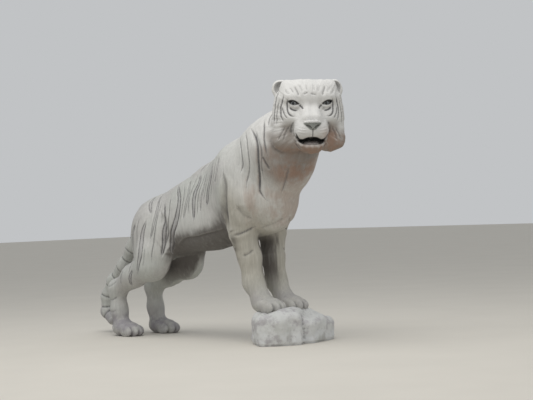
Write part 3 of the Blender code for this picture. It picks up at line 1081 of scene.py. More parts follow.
class Carver:
    """Works lines into the skin of a form and keeps what a painter needs to know of them."""

    reach: float = 3.0
    wide_reach: float = 8.0
    batch: int = 4000

    def __init__(self, form: Form, points: Array) -> None:
        """Start with a plain skin.

        Args:
            form: The body that lines are laid on.
            points: The skin's vertices.
        """
        self.form = form
        self.points = points
        self.rise = np.zeros(len(points))
        # dark paint of the carved lines, and painted shade in the folds
        self.groove = np.zeros(len(points))
        self.stripe = np.zeros(len(points))

    def work(self, line: Line) -> None:
        """Carve one line.

        Args:
            line: What to carve; its points lie on the form.
        """
        wide = line.cut in (Cut.LEDGE, Cut.FOLD)
        reach = line.width * (self.wide_reach if wide else self.reach)
        low = line.points.min(axis=0) - reach
        high = line.points.max(axis=0) + reach
        near = np.nonzero(((self.points > low) & (self.points < high)).all(axis=1))[0]
        if not len(near):
            return
        off, nearest = self.nearest(self.points[near], line.points)
        kept = off < reach
        near, off, nearest = near[kept], off[kept], nearest[kept]
        share = nearest / max(len(line.points) - 1, 1)
        edge = np.minimum(share, 1.0 - share) / max(line.taper, 1e-3)
        strength = 0.15 + 0.85 * eased(edge, 0.0, 1.0) if line.taper else np.ones(len(near))
        width = line.width * strength
        bell = np.exp(-((off / width) ** 2))
        if line.cut is Cut.GROOVE:
            self.rise[near] = np.minimum(self.rise[near], -line.depth * strength * bell)
            dark = line.tint * strength * np.exp(-((off / (0.8 * width)) ** 2))
            self.groove[near] = np.maximum(self.groove[near], dark)
        elif line.cut is Cut.FOLD:
            soft = np.exp(-((off / (2.0 * width)) ** 2))
            lip = np.exp(-(((off - 2.2 * width) / (1.4 * width)) ** 2))
            self.rise[near] += line.depth * strength * (0.35 * lip - bell * 0.6 - soft * 0.4)
            # painted shade in the fold
            self.groove[near] = np.maximum(self.groove[near], line.tint * strength * bell)
        elif line.cut is Cut.RIDGE:
            self.rise[near] += line.depth * strength * bell
        else:
            below = line.points[nearest, 2] - self.points[near, 2]
            step = eased(below, -0.2 * line.width, line.width)
            fade = np.exp(-((off / (3.6 * line.width)) ** 2))
            self.rise[near] -= line.depth * strength * step * fade

    def nearest(self, points: Array, path: Array) -> tuple[Array, Array]:
        """How far points are from a path, and which of its points is nearest.

        Args:
            points: The points.
            path: The path's points.

        Returns:
            The distances, and the numbers of the path's points.
        """
        off = np.empty(len(points))
        which = np.empty(len(points), dtype=int)
        for start in range(0, len(points), self.batch):
            part = slice(start, start + self.batch)
            gaps = np.linalg.norm(points[part, None, :] - path[None, :, :], axis=2)
            which[part] = gaps.argmin(axis=1)
            off[part] = gaps.min(axis=1)
        return off, which

    def lens(self, path: Array, half: float, width: float, depth: float, tint: float) -> None:
        """Carve a stripe: two lines that part in the middle and meet at the ends.

        Args:
            path: The stripe's middle, on the form.
            half: Half of its breadth at its widest.
            width: How wide each line is cut.
            depth: How deep.
            tint: How dark.
        """
        normals = self.form.normals(path)
        along = np.gradient(path, axis=0)
        along /= np.maximum(np.linalg.norm(along, axis=1), TINY)[:, None]
        across = np.cross(normals, along)
        share = np.linspace(0.0, 1.0, len(path))
        open_by = half * np.sin(math.pi * share) ** 0.6
        for sign in (-1.0, 1.0):
            edge = self.form.settle(path + sign * open_by[:, None] * across, 2)
            self.work(Line(edge, width, depth, Cut.GROOVE, tint, 0.12))
        low = path.min(axis=0) - 2.0 * half
        high = path.max(axis=0) + 2.0 * half
        near = np.nonzero(((self.points > low) & (self.points < high)).all(axis=1))[0]
        off, nearest = self.nearest(self.points[near], path)
        inside = 1.0 - eased(off, 0.7 * open_by[nearest], 1.1 * open_by[nearest] + 1e-4)
        self.stripe[near] = np.maximum(self.stripe[near], inside * tint)


def places(row: Sequence[int], columns: int) -> Array:
    """Read millimetres, some columns to each place, as a path in metres."""
    return np.array(row, dtype=float).reshape(-1, columns) / 1000.0


@dataclass
class Markings:
    """The stripes, folds and strokes carved into the tiger, most of them on both sides.

    Each row starts with how its line is cut and ends with its places, in millimetres.
    """

    form: Form
    head: Head

    # Stripes of the flank: half breadth, tint, then x and z in turn.
    flank: tuple[Row, ...] = (
        (0.021, 1.0, (-200, 915, -150, 876, -112, 815, -125, 735, -160, 670, -205, 610,
            -255, 543, -276, 490)),
        (0.013, 1.0, (-275, 815, -255, 720, -275, 640, -290, 560, -318, 480)),
        (0.016, 0.85, (23, 975, 48, 915, 34, 868, 28, 796, 30, 690)),
        (0.015, 0.85, (165, 1035, 195, 954, 168, 864, 148, 770)),
        (0.01, 0.45, (-65, 945, -30, 860, -45, 780, -70, 700)),
        (0.008, 0.4, (95, 1000, 112, 900, 95, 820, 88, 740)),
        (0.01, 0.55, (-375, 850, -340, 770, -350, 680, -375, 590)),
        (0.009, 0.4, (250, 1060, 262, 980, 248, 900)),
    )
    # Stripes of the thigh, laid out in the same way.
    thigh: tuple[Row, ...] = (
        (0.012, 0.7, (-480, 860, -430, 815, -375, 745)),
        (0.021, 0.85, (-412, 712, -447, 615, -440, 520, -457, 455, -480, 385)),
        (0.014, 0.8, (-520, 700, -560, 620, -560, 530, -535, 450)),
        (0.01, 0.6, (-600, 640, -615, 560, -600, 480)),
        (0.01, 0.7, (-540, 415, -566, 370, -586, 310)),
        (0.008, 0.6, (-640, 410, -660, 365, -672, 320)),
    )
    # Lines that run with the stripes: width, depth, tint, then x and z.
    flow: tuple[Row, ...] = (
        (0.006, 0.0035, 0.8, (-235, 900, -215, 830, -205, 740, -240, 640, -275, 570, -300, 500)),
        (0.006, 0.0035, 0.7, (-330, 870, -318, 790, -325, 700, -345, 600, -362, 500, -365, 420)),
        (0.0055, 0.003, 0.6, (-130, 940, -75, 860, -80, 760, -110, 660)),
        (0.0055, 0.003, 0.6, (0, 985, 0, 900, -15, 810, -20, 720)),
        (0.0055, 0.003, 0.55, (75, 1010, 85, 930, 68, 850, 62, 760, 50, 690)),
        (0.0055, 0.003, 0.55, (135, 1030, 150, 950, 130, 860, 118, 780)),
        (0.0055, 0.003, 0.5, (215, 1060, 228, 970, 208, 880, 195, 800)),
        (0.006, 0.0035, 0.6, (-475, 760, -500, 660, -500, 560, -495, 470, -515, 400)),
        (0.0055, 0.003, 0.55, (-585, 600, -590, 520, -575, 430, -580, 350)),
        (0.0055, 0.003, 0.5, (-405, 560, -410, 480, -425, 410)),
        (0.0075, 0.003, 0.45, (-715, 355, -765, 318, -825, 300)),
        (0.0075, 0.003, 0.45, (-730, 250, -775, 225, -825, 228)),
        (0.0075, 0.003, 0.4, (-735, 165, -775, 150, -825, 155)),
    )
    # Creases and cuts: how, width, depth, tint, then x, y and z on the right side.
    # A fold's tint is painted shade; the darkest, behind the shoulder, is its painted shadow.
    body: tuple[Row, ...] = (
        (Cut.FOLD, 0.02, 0.015, 0.45, (326, -220, 985, 345, -228, 892, 338, -225, 808,
            327, -210, 724, 318, -199, 650, 335, -192, 582, 355, -186, 540)),
        (Cut.LEDGE, 0.015, 0.012, 0.0, (-266, -109, 506, -221, -107, 547, -88, -163, 598,
            41, -167, 611, 162, -158, 632, 323, -198, 622)),
        (Cut.GROOVE, 0.01, 0.011, 0.95, (497, -146, 1209, 592, -201, 1128, 602, -201, 1018,
            560, -158, 868, 569, -149, 826, 587, -126, 794, 603, -108, 790)),
        (Cut.GROOVE, 0.007, 0.006, 0.7, (625, -196, 1050, 646, -173, 981, 655, -163, 955)),
        (Cut.GROOVE, 0.0075, 0.006, 0.75, (600, -147, 1250, 630, -174, 1192, 645, -191, 1125,
            660, -181, 1025)),
        (Cut.GROOVE, 0.007, 0.005, 0.65, (400, -130, 1160, 465, -195, 1090, 480, -210, 1000,
            455, -215, 930)),
        (Cut.GROOVE, 0.0065, 0.005, 0.6, (545, -150, 1200, 600, -195, 1140, 630, -200, 1060,
            610, -190, 960, 600, -170, 880)),
        (Cut.GROOVE, 0.0065, 0.005, 0.55, (440, -130, 1200, 520, -190, 1120, 535, -205, 1010,
            500, -200, 900, 505, -190, 830)),
        (Cut.GROOVE, 0.009, 0.005, 0.4, (743, -104, 972, 705, -93, 903, 640, -72, 822)),
        (Cut.FOLD, 0.016, 0.008, 0.1, (492, -90, 640, 566, -60, 665, 615, -10, 704)),
        (Cut.GROOVE, 0.01, 0.005, 0.6, (375, -215, 600, 418, -195, 612, 450, -165, 628,
            490, -110, 648)),
        (Cut.GROOVE, 0.01, 0.005, 0.5, (405, -175, 490, 440, -155, 500, 465, -108, 534)),
        (Cut.FOLD, 0.018, 0.009, 0.15, (434, -229, 777, 465, -200, 720, 496, -155, 690)),
        (Cut.RIDGE, 0.028, 0.007, 0.0, (464, -207, 1025, 465, -215, 886, 490, -211, 802,
            490, -176, 718)),
        (Cut.FOLD, 0.022, 0.01, 0.15, (-300, -150, 760, -262, -168, 680, -262, -158, 600,
            -290, -140, 520)),
    )
    # Cuts in the face: width, depth, tint, then out and up.
    face: tuple[Row, ...] = (
        (0.0068, 0.005, 1.0, (116, 36, 124, 12, 125, -20, 122, -45, 111, -61, 95, -68, 80, -62)),
        (0.0055, 0.004, 1.0, (114, -12, 108, -24, 94, -33, 76, -36, 66, -32)),
        (0.0058, 0.004, 0.75, (146, -8, 148, -34, 138, -62, 120, -86)),
        (0.0062, 0.005, 1.0, (64, -4, 56, -12, 48, -22, 42, -33)),
        (0.008, 0.0055, 0.85, (138, 66, 149, 16, 158, -24, 156, -70, 136, -110)),
        (0.0075, 0.0045, 0.65, (158, 40, 170, -5, 178, -60, 178, -130)),
        (0.0085, 0.003, 0.34, (16, 68, 21, 86, 18, 104)),
        (0.0085, 0.003, 0.36, (42, 60, 48, 82, 60, 106)),
        (0.008, 0.004, 0.6, (66, 36, 67, 56, 78, 82, 86, 100)),
        (0.008, 0.003, 0.38, (90, 56, 100, 76, 112, 90)),
        (0.0075, 0.003, 0.4, (108, 50, 124, 60, 134, 78)),
        (0.0085, 0.0045, 0.55, (88, -92, 100, -112, 104, -140, 100, -166)),
        (0.007, 0.005, 0.45, (108, -110, 136, -160, 150, -205)),
        (0.007, 0.005, 0.45, (132, -120, 160, -165, 176, -200)),
        (0.0065, 0.005, 0.65, (90, -205, 70, -235, 48, -255)),
        (0.004, 0.0022, 0.2, (30, -134, 56, -132, 80, -124)),
        (0.004, 0.0022, 0.2, (28, -148, 56, -147, 84, -139)),
        (0.004, 0.0022, 0.2, (28, -163, 54, -163, 82, -155)),
    )
    # Cuts at the sides and back of the head: the same, then ahead, out and up.
    nape: tuple[Row, ...] = (
        (0.009, 0.0065, 0.95, (-45, 150, 90, -50, 172, 40, -52, 183, -10, -52, 187, -61,
            -56, 190, -134)),
        (0.008, 0.006, 0.6, (-170, 20, 120, -175, 80, 100, -180, 130, 50)),
        (0.008, 0.006, 0.6, (-215, 15, 100, -220, 80, 80, -225, 130, 30)),
        (0.007, 0.005, 0.55, (-110, 20, 135, -115, 60, 132, -120, 95, 115)),
        (0.008, 0.006, 0.55, (-165, 175, -20, -165, 190, -80, -150, 190, -140)),
    )
    # Stripes over the back: where along it, how far each side, lean, half breadth, tint.
    saddle: tuple[Row, ...] = (
        (0.43, 0.12, 0.06, 0.009, 0.55),
        (0.33, 0.13, 0.05, 0.011, 0.6),
        (0.235, 0.125, 0.04, 0.008, 0.55),
        (0.16, 0.115, 0.01, 0.012, 0.7),
        (0.075, 0.12, 0.0, 0.008, 0.5),
        (0.005, 0.11, 0.01, 0.012, 0.7),
        (-0.085, 0.12, 0.015, 0.008, 0.55),
        (-0.19, 0.105, 0.02, 0.013, 0.8),
        (-0.275, 0.12, 0.015, 0.01, 0.6),
        (-0.365, 0.13, -0.01, 0.011, 0.65),
        (-0.455, 0.125, -0.02, 0.01, 0.6),
        (-0.54, 0.115, -0.03, 0.01, 0.6),
    )
    # Cuts on the middle of the face: width, depth, tint, taper, then out and up.
    middle: tuple[Row, ...] = (
        (0.0036, 0.006, 1.0, 0.0, (0, -136, 0, -150, 0, -176)),
        (0.0065, 0.0035, 0.5, 0.25, (-4, 54, 14, 50, 34, 44)),
        (0.0065, 0.0035, 0.5, 0.25, (-40, 50, -26, 54, -14, 62)),
    )
    # Where the tail's rings lie, as shares of its length.
    tail_rings: tuple[float, ...] = (0.16, 0.24, 0.33, 0.42, 0.51, 0.6, 0.69, 0.78, 0.87, 0.94)

    # How stripes are cut, where paths start out from, and how close their points are.
    stripe: Flat = (0.0056, 0.0044)
    flank_depth: float = 0.0046
    fullness: float = 0.8
    beside: float = 0.6
    above: float = 1.6
    before: float = 0.32
    body_spacing: float = 0.004
    face_spacing: float = 0.002

    def from_side(self, side: int, path: Array, shift: float = 0.0) -> Array:
        """Lay a path of x and z on one side of the body, moved ahead by the shift."""
        flat = smooth_path([(x + shift, side * self.beside, z) for x, z in path], self.body_spacing)
        return self.form.land(flat, np.array((0.0, -side, 0.0)))

    def on_face(self, path: Array, side: int) -> Array:
        """Lay a path of out and up on the face."""
        spots = [self.head.point(self.before, side * out, up) for out, up in path]
        return self.form.land(smooth_path(spots, self.face_spacing), -self.head.frame[:, 0])

    def nearby(self, spots: Path) -> Array:
        """Lay a path on the form from places close to it."""
        return self.form.settle(smooth_path(spots, self.body_spacing), 8)

    def carve_side(self, carver: Carver, side: int) -> None:
        """Work one side's markings into a skin.

        Args:
            carver: What carves.
            side: +1 for the left side.
        """
        width, depth = self.stripe
        step = HIND_STEP if side > 0 else 0.0
        for half, tint, row in self.flank:
            path = self.from_side(side, places(row, 2))
            carver.lens(path, self.fullness * half, width, self.flank_depth, tint)
        for *cut, tint, row in self.flow:
            flat = places(row, 2)
            path = self.from_side(side, flat, step * float(eased(-flat[0, 0], 0.25, 0.45)))
            carver.work(Line(path, *cut, Cut.GROOVE, tint))
        for half, tint, row in self.thigh:
            path = self.from_side(side, places(row, 2), step)
            carver.lens(path, self.fullness * half, width, depth, tint)
        for kind, *cut, tint, row in self.body:
            path = self.nearby([(x, -side * y, z) for x, y, z in places(row, 3)])
            carver.work(Line(path, *cut, kind, tint))
        for *cut, tint, row in self.face:
            carver.work(Line(self.on_face(places(row, 2), side), *cut, Cut.GROOVE, tint))
        for *cut, tint, row in self.nape:
            spots = [self.head.point(a, side * out, up) for a, out, up in places(row, 3)]
            carver.work(Line(self.nearby(spots), *cut, Cut.GROOVE, tint))

    def carve(self, carver: Carver) -> None:
        """Work every marking into a skin.

        Args:
            carver: What carves.
        """
        for side, _ in SIDES:
            self.carve_side(carver, side)
        down = np.array((0.0, 0.0, -1.0))
        for x, reach, lean, half, tint in self.saddle:
            spots = [(x, -reach, self.above), (x + lean, 0.0, self.above), (x, reach, self.above)]
            path = self.form.land(smooth_path(spots, self.body_spacing), down)
            carver.lens(path, self.fullness * half, *self.stripe, tint)
        for *cut, tint, taper, row in self.middle:
            path = self.on_face(places(row, 2), 1)
            carver.work(Line(path, *cut, Cut.GROOVE, tint, taper))
        for share in self.tail_rings:
            ring = self.form.settle(smooth_path(Tail().ring(share)), 4)
            carver.work(Line(ring, 0.0075, 0.005, Cut.GROOVE, 0.65, 0.0))


# ---------------- meshes


@dataclass
class Place:
    """Where the living tiger's measures lie in the grown statue."""

    growth: float
    shift: Array

    @classmethod
    def from_frame(cls, head: Head) -> "Place":
        """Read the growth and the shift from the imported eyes.

        Args:
            head: The head whose eyes are looked for.

        Returns:
            The place.
        """
        middles = [np.array(sum(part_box(f"eye_{hand}"), Vector())) / 2.0 for _, hand in SIDES]
        growth = float(np.linalg.norm(middles[1] - middles[0])) / (2.0 * EYE_OUT)
        return cls(growth, middles[1] - growth * head.point(EYE_BACK, EYE_OUT, 0.0))

    def world(self, points: Array) -> Array:
        """Living places, in the statue's own metres."""
        return points * self.growth + self.shift


def positions(mesh: Mesh) -> Array:
    """The places of a mesh's vertices.

    Args:
        mesh: The mesh.

    Returns:
        One place on each line.
    """
    flat = np.empty(len(mesh.vertices) * 3)
    mesh.vertices.foreach_get("co", flat)
    return flat.reshape(-1, 3)


def normals_of(mesh: Mesh) -> Array:
    """The normals of a mesh's vertices.

    Args:
        mesh: The mesh.

    Returns:
        One unit vector on each line.
    """
    flat = np.empty(len(mesh.vertices) * 3)
    mesh.vertex_normals.foreach_get("vector", flat)
    return flat.reshape(-1, 3)


def put(mesh: Mesh, points: Array) -> None:
    """Move a mesh's vertices to these places."""
    mesh.vertices.foreach_set("co", points.ravel())
    mesh.update()


def keep(mesh: Mesh, name: str, values: Array) -> None:
    """Store a number or a vector for each vertex, for the shader to read.

    Args:
        mesh: The mesh.
        name: What the shader asks for.
        values: One value for each vertex.
    """
    kind, part = ("FLOAT", "value") if values.ndim == 1 else ("FLOAT_VECTOR", "vector")
    layer = mesh.attributes.new(name, kind, "POINT")
    layer.data.foreach_set(part, np.asarray(values, dtype=np.float32).ravel())


def spread(mesh: Mesh, values: Array, rounds: int) -> Array:
    """Even out values over a mesh, each vertex with its neighbours.

    Args:
        mesh: Whose edges join the vertices.
        values: A number or a vector for each vertex.
        rounds: How many times.

    Returns:
        The evened values.
    """
    edges = np.empty(len(mesh.edges) * 2, dtype=int)
    mesh.edges.foreach_get("vertices", edges)
    first, second = edges.reshape(-1, 2).T
    count = np.bincount(np.concatenate([first, second]), minlength=len(values))
    table = values.reshape(len(values), -1).astype(float)
    for _ in range(rounds):
        fresh = np.empty_like(table)
        for column in range(table.shape[1]):
            one = table[:, column]
            total = np.bincount(first, one[second], len(one))
            total += np.bincount(second, one[first], len(one))
            fresh[:, column] = total / np.maximum(count, 1)
        table = 0.5 * table + 0.5 * fresh
    return table.reshape(values.shape)


def bend(mesh: Mesh, rounds: int, full: float) -> Array:
    """How far vertices lie below what is around them, in shares of a full bend."""
    points = positions(mesh)
    return ((spread(mesh, points, rounds) - points) * normals_of(mesh)).sum(axis=1) / full


def applied(ob: Object) -> None:
    """Keep the shape that an object's modifiers give, and drop them.

    Args:
        ob: The object.
    """
    graph = bpy.context.evaluated_depsgraph_get()
    mesh = bpy.data.meshes.new_from_object(ob.evaluated_get(graph))
    ob.modifiers.clear()
    ob.data = mesh


def remesh(ob: Object, cell: float) -> None:
    """Give an object one even closed skin.

    Args:
        ob: The object.
        cell: How wide the skin's faces are.
    """
    modifier = ob.modifiers.new("Skin", "REMESH")
    modifier.mode = "VOXEL"
    modifier.voxel_size = cell
    applied(ob)


def placed(name: str, form: BMesh) -> Object:
    """Turn a form into an object of the scene.

    Args:
        name: The object's name.
        form: Its shape, freed afterwards.

    Returns:
        The object.
    """
    mesh = bpy.data.meshes.new(name)
    form.to_mesh(mesh)
    form.free()
    ob = bpy.data.objects.new(name, mesh)
    bpy.context.scene.collection.objects.link(ob)
    return ob


def closed(name: str, masses: Iterable[Mass]) -> Object:
    """Lay the rough forms of some masses together in one object.

    Args:
        name: The object's name.
        masses: What to lay in it.

    Returns:
        The object.
    """
    rough = bmesh.new()
    for mass in masses:
        mass.add_to(rough)
    bmesh.ops.recalc_face_normals(rough, faces=rough.faces)
    return placed(name, rough)


def cut_out(ob: Object, hollows: Sequence[Mass]) -> None:
    """Cut hollows out of a closed skin, so that later passes find them open.

    Args:
        ob: The skin.
        hollows: What to cut.
    """
    cutter = closed("cutter", hollows)
    remesh(cutter, CUTTER_CELL)
    modifier = ob.modifiers.new("Cut", "BOOLEAN")
    modifier.operation = "DIFFERENCE"
    modifier.solver = "MANIFOLD"
    modifier.object = cutter
    applied(ob)
    bpy.data.objects.remove(cutter)


def cast(name: str, form: Form, cells: Sequence[float]) -> Object:
    """Make a closed skin on a form, finer at each pass.

    Args:
        name: The object's name.
        form: The body to cover.
        cells: The cell of each pass, the finest last.

    Returns:
        The object.
    """
    ob = closed(name, form.masses)
    for number, cell in enumerate(cells):
        remesh(ob, cell)
        put(ob.data, (form if number else Form(form.masses)).settle(positions(ob.data)))
        if form.hollows and number == 0:
            cut_out(ob, form.hollows)
    return ob


def refine(ob: Object, inside: Callable[[Array], Array]) -> None:
    """Halve the cells of part of a skin.

    Args:
        ob: The skin.
        inside: Tells which places belong to the part.
    """
    form = bmesh.new()
    form.from_mesh(ob.data)
    chosen = inside(positions(ob.data))
    edges = [
        edge for edge in form.edges if chosen[edge.verts[0].index] and chosen[edge.verts[1].index]
    ]
    bmesh.ops.subdivide_edges(form, edges=edges, cuts=1, use_grid_fill=True, use_single_edge=True)
    bmesh.ops.triangulate(form, faces=[face for face in form.faces if len(face.verts) > 4])
    form.to_mesh(ob.data)
    form.free()


def smooth_shaded(ob: Object) -> None:
    """Shade all the faces of an object smooth."""
    ob.data.polygons.foreach_set("use_smooth", [True] * len(ob.data.polygons))
    ob.data.update()


def finish_piece(ob: Object, material: Material, slot: str, *nodes: str) -> None:
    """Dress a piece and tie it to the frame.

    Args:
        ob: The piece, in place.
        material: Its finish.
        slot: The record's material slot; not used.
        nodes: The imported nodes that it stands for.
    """
    ob.data.name = ob.name
    ob.data.materials.clear()
    ob.data.materials.append(material)
    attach(ob, "root")
    if nodes:
        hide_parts(*nodes)
    LOG.info("%s: %d faces", ob.name, len(ob.data.polygons))


# ---------------- finishes


@dataclass(frozen=True)
class Wire:
    """One output of a shader node; sums on it are written as on paper."""

    bench: "Bench"
    socket: Any

    def __add__(self, other: "Wire | float") -> "Wire":
        """This value plus another."""
        return self.bench.reckon("ADD", self, other)

    def __sub__(self, other: "Wire | float") -> "Wire":
        """This value less another."""
        return self.bench.reckon("SUBTRACT", self, other)

    def __rsub__(self, other: float) -> "Wire":
        """A number less this value."""
        return self.bench.reckon("SUBTRACT", other, self)

    def __mul__(self, other: "Wire | float") -> "Wire":
        """This value times another."""
        return self.bench.reckon("MULTIPLY", self, other)

    __radd__ = __add__
    __rmul__ = __mul__


Signal = Wire | float | Sequence[float]


class Bench:
    """The node tree of one finish."""

    def __init__(self, name: str) -> None:
        """Start a finish with a bare shader.

        Args:
            name: The material's name.
        """
        self.material = bpy.data.materials.new(name)
        self.material.use_nodes = True
        self.tree = self.material.node_tree
        self.shader = self.tree.nodes["Principled BSDF"]

    def node(
        self,
        kind: str,
        settings: dict[str, Any] | None = None,
        inputs: dict[str | int, Signal] | None = None,
        output: str | int = 0,
    ) -> Wire:
        """Add a node.

        Args:
            kind: Its type.
            settings: What is set on it before its sockets.
            inputs: A value or a link for each socket, by name or number.
            output: Which of its outputs is wanted.

        Returns:
            That output.
        """
        made = self.tree.nodes.new(kind)
        for name, value in (settings or {}).items():
            setattr(made, name, value)
        for name, value in (inputs or {}).items():
            self.feed(made.inputs[name], value)
        return Wire(self, made.outputs[output])

    def feed(self, socket: Any, value: Signal) -> None:
        """Link or set one socket.

        Args:
            socket: An input of a node.
            value: What it gets.
        """
        if isinstance(value, Wire):
            self.tree.links.new(value.socket, socket)
        elif isinstance(value, (int, float)):
            socket.default_value = value
        else:
            size = len(socket.default_value)
            socket.default_value = (*value, 1.0)[:size]

    def reckon(self, operation: str, first: Signal, second: Signal) -> Wire:
        """One sum on two values."""
        return self.node("ShaderNodeMath", {"operation": operation}, {0: first, 1: second})

    def mask(self, name: str, output: str = "Fac") -> Wire:
        """A number kept on the mesh, or its vector."""
        return self.node("ShaderNodeAttribute", {"attribute_name": name}, output=output)

    def place(self) -> Wire:
        """Where a point is on the object, in metres."""
        return self.node("ShaderNodeTexCoord", output="Object")

    def noise(self, where: Wire, size: float, detail: float = 3.0, rough: float = 0.55) -> Wire:
        """Noise whose features are about this size, in metres."""
        return self.node(
            "ShaderNodeTexNoise",
            {"noise_dimensions": "3D"},
            {"Vector": where, "Scale": 1.0 / size, "Detail": detail, "Roughness": rough},
        )

    def stretch(self, where: Wire, by: Point) -> Wire:
        """A place, stretched along each axis."""
        return self.node("ShaderNodeVectorMath", {"operation": "MULTIPLY"}, {0: where, 1: by})

    def step(self, value: Signal, low: float, high: float) -> Wire:
        """A smooth rise from 0 at low to 1 at high."""
        return self.node(
            "ShaderNodeMapRange",
            {"interpolation_type": "SMOOTHSTEP", "clamp": True},
            {"Value": value, "From Min": low, "From Max": high, "To Min": 0.0, "To Max": 1.0},
        )

    def mix(self, share: Signal, first: Signal, second: Signal) -> Wire:
        """A colour between two colours."""
        return self.node(
            "ShaderNodeMix", {"data_type": "RGBA"}, {0: share, 6: first, 7: second}, output=2
        )

    def shade(self, colour: Signal, level: Signal) -> Wire:
        """A colour, made lighter or darker."""
        grey = self.node(
            "ShaderNodeCombineColor", {"mode": "RGB"}, {0: level, 1: level, 2: level}
        )
        return self.node(
            "ShaderNodeMix",
            {"data_type": "RGBA", "blend_type": "MULTIPLY"},
            {0: 1.0, 6: colour, 7: grey},
            output=2,
        )

    def bump(self, height: Signal, distance: float, strength: float = 1.0) -> Wire:
        """A bumped normal."""
        return self.node(
            "ShaderNodeBump", inputs={"Height": height, "Distance": distance, "Strength": strength}
        )

    def finish(self, **sockets: Signal) -> Material:
        """Feed the shader's sockets, named with underscores for spaces.

        Args:
            sockets: What each socket gets.

        Returns:
            The material.
        """
        for name, value in sockets.items():
            self.feed(self.shader.inputs[name.replace("_", " ").title()], value)
        return self.material


@dataclass(frozen=True)
class CastStone:
    """The tiger's painted cast stone: pale head, greyer flanks, beige legs, dark cuts."""

    flank: Colour = (0.46, 0.47, 0.442)
    flank_warm: Colour = (0.44, 0.432, 0.415)
    # pale paint of the head and back, also painted light on the lower flank
    pale: Colour = (0.64, 0.632, 0.612)
    nose: Colour = (0.23, 0.24, 0.22)
    beige: Colour = (0.43, 0.41, 0.355)
    # painted shade: the underside's brown, darkened to near black under the belly, on the legs'
    # inner faces and under the jaw
    belly: Colour = (0.085, 0.074, 0.066)
    # painted shade of the lower face, of the hollows beside the muzzle and of the neck under the
    # ruff
    head_shade: Colour = (0.225, 0.188, 0.16)
    rust: Colour = (0.3, 0.185, 0.13)
    stripe: Colour = (0.255, 0.245, 0.255)
    # dark grey of the carved lines, also used for painted shade in hollows and folds
    groove: Colour = (0.105, 0.102, 0.105)
    # painted highlight: light grey on raised edges and ridges, most on the head
    wear_and_highlight: Colour = (0.78, 0.77, 0.74)
    paw: Colour = (0.3, 0.285, 0.3)
    # near black: painted lid lines, and painted shade in the mouth, nostrils, cleft and ear bowls
    dark: Colour = (0.018, 0.016, 0.015)
    roughness: float = 0.82

    def material(self) -> Material:
        """Mix the finish.

        Returns:
            The material.
        """
        bench = Bench("cast_stone_coat")
        where = bench.place()
        broad = bench.noise(where, 0.45, 4.0)
        blotch = bench.noise(where, 0.09, 5.0, 0.6)
        sand = bench.noise(where, 0.0045, 3.0, 0.7)
        hair = bench.noise(bench.stretch(where, (1.0, 1.0, 0.1)), 0.013, 4.0, 0.6)
        face_hair = bench.noise(bench.mask("sweep", "Vector"), 0.011, 4.0, 0.6)
        head = bench.mask("head")
        strokes = hair * (1.0 - head) + face_hair * head
        colour = bench.mix(bench.step(broad, 0.42, 0.62), self.flank, self.flank_warm)
        colour = bench.mix(bench.mask("beige"), colour, self.beige)
        # pale paint of the head and back, and painted light on the lower flank
        colour = bench.mix(bench.mask("pale"), colour, self.pale)
        colour = bench.mix(bench.mask("paw") * bench.step(blotch, 0.35, 0.6), colour, self.paw)
        # painted shade under the belly, on the legs' inner faces and under the jaw
        colour = bench.mix(bench.mask("belly"), colour, self.belly)
        # painted shade of the lower face, beside the muzzle and under the ruff, patchy
        colour = bench.mix(bench.mask("head_shade") * (0.45 + 0.6 * blotch), colour, self.head_shade)
        colour = bench.mix(bench.mask("nose"), colour, self.nose)
        rust = bench.mask("rust") * bench.step(blotch + 0.5 * broad, 0.55, 0.85)
        colour = bench.mix(rust * 0.75, colour, self.rust)
        # rubbed paint from sand and strokes, which thins the stripes and the carved lines
        wear_and_highlight = bench.step(sand * 0.5 + strokes * 0.7, 0.4, 0.75)
        colour = bench.mix(bench.mask("stripe") * (0.75 - 0.45 * wear_and_highlight), colour, self.stripe)
        # random tone from the blotches, and painted shade where the fur strokes lie low
        level = 0.86 + 0.16 * blotch + 0.1 * broad + (0.46 - 0.24 * head) * (strokes - 0.5)
        level = level + 0.05 * (sand - 0.5)
        colour = bench.shade(colour, level)
        crease = bench.mask("crease")
        # painted shade in the skin's hollows, patchy
        hollow_shade = bench.step(crease, 0.08, 0.65) * (0.35 + 0.5 * blotch)
        colour = bench.mix(hollow_shade * 0.55, colour, self.groove)
        # dark paint in the carved lines, and painted shade in the folds
        groove = bench.mask("groove") * (1.1 - 0.45 * wear_and_highlight)
        colour = bench.mix(bench.step(groove, 0.05, 0.8) * 0.92, colour, self.groove)
        # painted highlight on raised edges and ridges
        edge = bench.step(crease, -0.1, -0.6)
        colour = bench.mix(edge * (0.1 + 0.18 * head), colour, self.wear_and_highlight)
        # painted lid lines, and painted shade in the mouth, nostrils, cleft and ear bowls
        colour = bench.mix(bench.mask("dark"), colour, self.dark)
        height = strokes + sand * 0.35 + bench.noise(where, 0.028, 3.0) * 0.5
        return bench.finish(
            base_color=colour,
            roughness=self.roughness + 0.1 * (blotch - 0.5),
            normal=bench.bump(height, 0.005, 0.75),
        )


